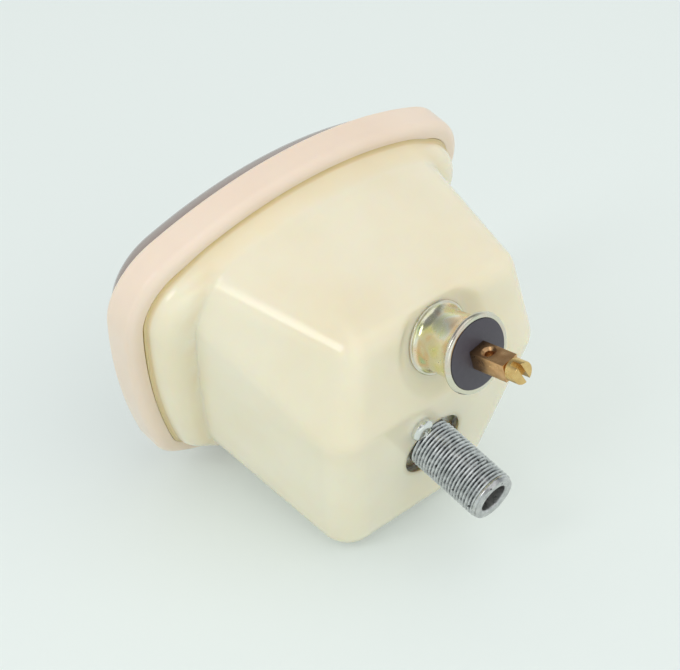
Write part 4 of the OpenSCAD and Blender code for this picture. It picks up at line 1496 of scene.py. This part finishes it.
@dataclass
class DialFace:
    """Enamelled dial with its printed scale, needle and number drums."""

    front_y: float = -4.2
    zero_deg: float = 105.0
    top_speed: int = 120
    tick_step: int = 5
    tick_r: float = 33.2
    tick_length: float = 4.2
    tick_w: float = 1.0
    number_step: int = 20
    number_r: float = 25.0
    number_mm: float = 5.0
    unit_mm: float = 3.2
    unit_z: float = 14.0
    drum_r: float = 7.0
    drum_y: float = 8.0
    drum_z: float = -18.5
    drum_pitch: float = 4.2
    drum_count: int = 5
    drum_half_w: float = 2.05
    drum_figure_mm: float = 3.4
    drum_figure_squeeze: float = 0.85
    capital_share: float = 0.7
    ink_mm: float = 0.04

    def tick_tree(self) -> Tree:
        """A tree that sets bars round an arc, long ones at each number.

        Returns:
            The tree, with its sizes as inputs.
        """
        number = "NodeSocketFloat"
        tree, sizes, out = new_shape_tree("scale_ticks", {
            "Count": "NodeSocketInt", "Radius": number, "Zero": number, "Sweep": number, "Length": number,
            "Width": number, "Thickness": number, "Front": number, "Finish": "NodeSocketMaterial"})
        maths = partial(arithmetic, tree)
        index = add_node(tree, "GeometryNodeInputIndex").outputs[0]
        share = maths("DIVIDE", index, maths("SUBTRACT", sizes["Count"], 1.0))
        turn = maths("ADD", maths("MULTIPLY", share, sizes["Sweep"]), sizes["Zero"])
        line = add_node(tree, "GeometryNodeMeshLine", {"Count": sizes["Count"]})
        spot = add_node(tree, "ShaderNodeCombineXYZ", {
            0: maths("MULTIPLY", sizes["Radius"], maths("SINE", turn)), 1: sizes["Front"],
            2: maths("MULTIPLY", sizes["Radius"], maths("COSINE", turn))})
        bent = add_node(tree, "GeometryNodeSetPosition", {
            "Geometry": line.outputs[0], "Position": spot.outputs[0]})
        size = add_node(tree, "ShaderNodeCombineXYZ", {
            0: sizes["Width"], 1: sizes["Thickness"], 2: sizes["Length"]})
        bar = add_node(tree, "GeometryNodeMeshCube", {"Size": size.outputs[0]})
        rotation = add_node(tree, "ShaderNodeCombineXYZ", {1: turn})
        minor = maths("GREATER_THAN", maths("MODULO", index, self.number_step / self.tick_step), 0.5)
        stretch = add_node(tree, "ShaderNodeCombineXYZ", {
            0: maths("SUBTRACT", 1.0, maths("MULTIPLY", minor, 0.45)), 1: 1.0,
            2: maths("SUBTRACT", 1.0, maths("MULTIPLY", minor, 0.5))})
        set_out = add_node(tree, "GeometryNodeInstanceOnPoints", {
            "Points": bent.outputs[0], "Instance": bar.outputs[0], "Rotation": rotation.outputs[0],
            "Scale": stretch.outputs[0]})
        real = add_node(tree, "GeometryNodeRealizeInstances", {"Geometry": set_out.outputs[0]})
        dressed = add_node(tree, "GeometryNodeSetMaterial", {
            "Geometry": real.outputs[0], "Material": sizes["Finish"]})
        tree.links.new(dressed.outputs[0], out.inputs[0])
        return tree

    def ticks(self) -> Piece:
        """Prints the ticks, one for every five kilometres an hour."""
        blank = mesh_piece("dial_ticks", [(0, 0, 0)], [], PRINT_INK)
        return grow(blank, self.tick_tree(), {
            "Count": self.top_speed // self.tick_step + 1, "Radius": self.tick_r * MM,
            "Zero": math.radians(-self.zero_deg), "Sweep": math.radians(2 * self.zero_deg),
            "Length": self.tick_length * MM, "Width": self.tick_w * MM, "Thickness": self.ink_mm * MM,
            "Front": (self.front_y - self.ink_mm / 2) * MM, "Finish": PRINT_INK.material()})

    def figure(self, text: str, height: float) -> bpy.types.Mesh:
        """Draws a figure flat, centred on its middle, in millimetres.

        Args:
            text: What it says.
            height: Its height.

        Returns:
            The mesh, in X and Y.
        """
        curve = bpy.data.curves.new("figure", "FONT")
        curve.body = text
        curve.size = height / self.capital_share
        curve.align_x = "CENTER"
        curve.extrude = self.ink_mm / 2
        curve.resolution_u = 4
        holder = placed("figure", curve)
        bpy.context.view_layer.update()
        mesh = bpy.data.meshes.new_from_object(holder.evaluated_get(bpy.context.evaluated_depsgraph_get()))
        bpy.data.objects.remove(holder)
        tall = [v.co.y for v in mesh.vertices]
        mesh.transform(Matrix.Translation((0, -(min(tall) + max(tall)) / 2, 0)))
        return mesh

    def inked(self, mesh: bpy.types.Mesh) -> Piece:
        """Turns a figure in millimetres into a piece of ink.

        Args:
            mesh: The figure, in its place.

        Returns:
            The piece.
        """
        mesh.transform(Matrix.Scale(MM, 4))
        mesh.materials.append(PRINT_INK.material())
        return placed("mark", mesh)

    def figures(self) -> Piece:
        """Prints the numbers of the scale and its unit.

        Returns:
            All of them as one object.
        """
        stand = Matrix.Rotation(math.radians(90), 4, "X")
        marks = []
        for value in range(0, self.top_speed + 1, self.number_step):
            turn = math.radians(-self.zero_deg + 2 * self.zero_deg * value / self.top_speed)
            x, z = self.number_r * math.sin(turn), self.number_r * math.cos(turn)
            marks.append((str(value), self.number_mm, x, z))
        marks.append(("km/h", self.unit_mm, 0.0, self.unit_z))
        pieces = []
        for text, height, x, z in marks:
            mesh = self.figure(text, height)
            mesh.transform(Matrix.Translation((x, self.front_y - self.ink_mm / 2, z)) @ stand)
            pieces.append(self.inked(mesh))
        return joined("dial_figures", pieces)

    def drum_figures(self, index: int) -> Piece:
        """Wraps the ten figures round one number drum.

        Args:
            index: Number of the drum, from the right.

        Returns:
            The figures as one object.
        """
        middle = self.drum_pitch * (self.drum_count / 2 - index) + self.drum_half_w
        pieces = []
        for value in range(10):
            mesh = self.figure(str(value), self.drum_figure_mm)
            for v in mesh.vertices:
                turn = math.radians(36 * value) - v.co.y / self.drum_r
                reach = self.drum_r + self.ink_mm / 2 + v.co.z
                x = middle + v.co.x * self.drum_figure_squeeze
                v.co = Vector((x, self.drum_y - reach * math.cos(turn), self.drum_z - reach * math.sin(turn)))
            pieces.append(self.inked(mesh))
        return joined(f"drum_figures_{index}", pieces)

    def make(self, frame: dict[str, Any]) -> None:
        """Dresses the dial, the needle and the drums, and prints on them.

        Args:
            frame: The loaded frame.
        """
        dress(frame, "dial_plate", DIAL_ENAMEL, 0.1)
        dress(frame, "dial_screws", SCREW_STEEL, 0.08)
        dress(frame, "needle", NEEDLE_ENAMEL, 0.1)
        dress(frame, "needle_cap", BLACK_ABS, 0.15)
        dress(frame, "stop_pins", SHAFT_STEEL, 0.1)
        for piece in (self.ticks(), self.figures()):
            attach(piece, "case")
        bodies = ["drum_units", "drum_tens", "drum_hundreds", "drum_thousands", "drum_ten_thousands"]
        for index, body in enumerate(bodies, 1):
            dress(frame, f"number_drum_{index}", BLACK_ABS, 0.06)
            wrapped = self.drum_figures(index)
            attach(wrapped, body)


class Inside(Enum):
    """Pieces of the movement that keep their CAD shape, with what each is made of."""

    GASKET = ("lens_gasket", BLACK_RUBBER, 0.1)
    BUSH = ("spindle_bush", SCREW_BRASS, 0.1)
    SPINDLE = ("spindle", SPINDLE_STEEL, 0.0)
    MAGNET = ("magnet", FERRITE, 0.2)
    FIELD_RING = ("field_ring", SHAFT_STEEL, 0.1)
    DRAG_CUP = ("drag_cup", CUP_ALUMINIUM, 0.05)
    ARBOR = ("needle_arbor", SHAFT_STEEL, 0.05)
    HAIRSPRING = ("hairspring", SCREW_BRASS, 0.0)
    BRIDGE = ("bridge", SCREW_BRASS, 0.1)
    BRIDGE_SCREWS = ("bridge_screws", SCREW_STEEL, 0.06)
    CROSS_SHAFT = ("cross_shaft", SHAFT_STEEL, 0.0)
    CROSS_WHEEL = ("cross_wheel", NYLON, 0.05)
    DRUM_AXLE = ("drum_axle", SHAFT_STEEL, 0.1)
    DRIVE_WHEEL = ("drive_wheel", NYLON, 0.05)
    CARRY_SHAFT = ("carry_shaft", SHAFT_STEEL, 0.05)
    PINION_1 = ("carry_pinion_1", NYLON, 0.05)
    PINION_2 = ("carry_pinion_2", NYLON, 0.05)
    PINION_3 = ("carry_pinion_3", NYLON, 0.05)
    PINION_4 = ("carry_pinion_4", NYLON, 0.05)

    def make(self, frame: dict[str, Any]) -> None:
        """Dresses the piece's CAD node."""
        node, finish, bevel = self.value
        dress(frame, node, finish, bevel)


@dataclass(frozen=True)
class Softbox:
    """A rectangular lamp that looks at the object."""

    name: str
    towards: tuple[float, float, float]
    distance: float
    size: Pair
    power: float

    def hang(self, target: Vector) -> None:
        """Hangs the lamp.

        Args:
            target: What it looks at, in metres.
        """
        light = bpy.data.lights.new(self.name, "AREA")
        light.shape = "RECTANGLE"
        light.size, light.size_y = self.size
        light.energy = self.power
        away = Vector(self.towards).normalized()
        turn = away.to_track_quat("Z", "Y").to_matrix().to_4x4()
        placed(self.name, light).matrix_world = Matrix.Translation(target + self.distance * away) @ turn


# Soft light from overhead, a strip that draws the long highlight, and a weak fill from behind;
# directions in the part's frame, distances and sizes in metres, powers in watts
SOFTBOXES = (
    Softbox("overhead_softbox", (-0.1, 0.2, 0.92), 1.0, (1.0, 1.0), 2.2),
    Softbox("left_strip", (0.75, -0.14, 0.66), 0.8, (0.17, 0.36), 0.8),
    Softbox("rear_fill", (0.3, 0.9, 0.3), 1.2, (1.0, 1.0), 1.1),
)


@dataclass
class Studio:
    """The table, the room, the lamps and the camera of the photograph."""

    up: tuple[float, float, float] = (0.0, -0.2129, 0.9771)
    eye_mm: tuple[float, float, float] = (274.69, 231.39, 367.42)
    right: tuple[float, float, float] = (-0.7222, 0.6758, 0.1472)
    back: tuple[float, float, float] = (0.5479, 0.4291, 0.7181)
    focal_px: float = 2199.0
    width_px: float = 680.0
    sensor_mm: float = 36.0
    target_mm: tuple[float, float, float] = (0.0, 25.0, 3.0)
    table_m: float = 2.5
    table_gap_mm: float = 0.05
    white: str = "#ebf3f2"
    paper_colour: str = "#e9f3f1"
    ceiling: str = "#85878a"
    ceiling_starts: Pair = (0.3, 0.7)
    white_share: float = 0.28
    room: str = "#f6f5f3"
    room_light: float = 0.8

    def camera(self) -> None:
        """Puts the camera where the photograph was taken from."""
        lens = bpy.data.cameras.new("photo_camera")
        lens.sensor_width = self.sensor_mm
        lens.sensor_fit = "HORIZONTAL"
        lens.lens = self.focal_px / self.width_px * lens.sensor_width
        lens.clip_start = 0.01
        back = Vector(self.back).normalized()
        right = Vector(self.right)
        right = (right - right.dot(back) * back).normalized()
        upward = back.cross(right)
        seat = Matrix((right, upward, back)).transposed().to_4x4()
        camera = placed("photo_camera", lens)
        camera.matrix_world = Matrix.Translation(Vector(self.eye_mm) * MM) @ seat
        bpy.context.scene.camera = camera

    def floor(self, frame: dict[str, Any]) -> None:
        """Lays the table under the lowest point of the object.

        Args:
            frame: The loaded frame.
        """
        up = Vector(self.up).normalized()
        meshes = [frame["nodes"][name].data for name in ("bezel", "housing")]
        lowest = min(up.dot(v.co) for mesh in meshes for v in mesh.vertices)
        centre = up * (lowest - self.table_gap_mm * MM)
        across = up.orthogonal().normalized() * self.table_m
        along = up.cross(across)
        corners = [centre + a * across + b * along for a, b in ((-1, -1), (1, -1), (1, 1), (-1, 1))]
        mesh = bpy.data.meshes.new("table")
        mesh.from_pydata([tuple(c) for c in corners], [], [(0, 1, 2, 3)])
        mesh.materials.append(self.paper())
        table = placed("table", mesh)

    def seen_directly(self, tree: Tree) -> Socket:
        """A factor that is 1 for the camera, for mirror images and through glass.

        Args:
            tree: The tree that gets the nodes.

        Returns:
            The factor.
        """
        rays = add_node(tree, "ShaderNodeLightPath").outputs
        mirrored = arithmetic(tree, "MAXIMUM", rays["Is Glossy Ray"], rays["Is Transmission Ray"])
        return arithmetic(tree, "MAXIMUM", rays["Is Camera Ray"], mirrored)

    def paper(self) -> bpy.types.Material:
        """White paper of the table: it takes the shadow, which its own white lightens for the camera."""
        made = bpy.data.materials.new("paper_backdrop")
        made.use_nodes = True
        tree = made.node_tree
        tree.nodes.clear()
        matt = add_node(tree, "ShaderNodeBsdfDiffuse", {"Color": linear(self.paper_colour)})
        white = add_node(tree, "ShaderNodeEmission", {"Color": linear(self.white), "Strength": 1.0})
        share = arithmetic(tree, "MULTIPLY", self.seen_directly(tree), self.white_share)
        mix = mixed_shaders(tree, share, matt.outputs[0], white.outputs[0])
        add_node(tree, "ShaderNodeOutputMaterial", {"Surface": mix})
        return made

    def glow(self, tree: Tree, colour: str, strength: float = 1.0) -> Socket:
        """Adds one colour of the world's background."""
        return add_node(tree, "ShaderNodeBackground", {
            "Color": linear(colour), "Strength": strength}).outputs[0]

    def sky(self) -> None:
        """Fills the room with even light, shows the camera white paper and mirrors the ceiling's grey."""
        world = bpy.data.worlds.new("studio")
        bpy.context.scene.world = world
        world.use_nodes = True
        tree = world.node_tree
        tree.nodes.clear()
        towards = add_node(tree, "ShaderNodeTexCoord").outputs["Generated"]
        height = add_node(tree, "ShaderNodeVectorMath", {0: towards, 1: self.up}, operation="DOT_PRODUCT")
        start, end = self.ceiling_starts
        overhead = add_node(tree, "ShaderNodeMapRange", {
            "Value": height.outputs["Value"], 1: start, 2: end}).outputs[0]
        mirror = add_node(tree, "ShaderNodeLightPath").outputs["Is Glossy Ray"]
        share = arithmetic(tree, "MULTIPLY", overhead, mirror)
        seen = mixed_shaders(tree, share, self.glow(tree, self.white), self.glow(tree, self.ceiling))
        fill = self.glow(tree, self.room, self.room_light)
        mix = mixed_shaders(tree, self.seen_directly(tree), fill, seen)
        add_node(tree, "ShaderNodeOutputWorld", {"Surface": mix})

    def make(self, frame: dict[str, Any]) -> None:
        """Sets up the whole studio.

        Args:
            frame: The loaded frame.
        """
        bpy.context.scene.view_settings.view_transform = "Standard"
        self.camera()
        self.floor(frame)
        self.sky()
        for softbox in SOFTBOXES:
            softbox.hang(Vector(self.target_mm) * MM)


def main() -> None:
    """Builds the sub-assemblies in order and logs each piece."""
    logging.basicConfig(level=logging.INFO, format="%(name)s: %(message)s")
    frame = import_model()
    Studio().make(frame)
    Housing().make()
    Bezel().make()
    Lens().make()
    CableNipple().make(frame)
    HousingScrews().make()
    LampSocket().make(frame)
    DialFace().make(frame)
    for piece in Inside:
        piece.make(frame)


if __name__ == "__main__":
    main()
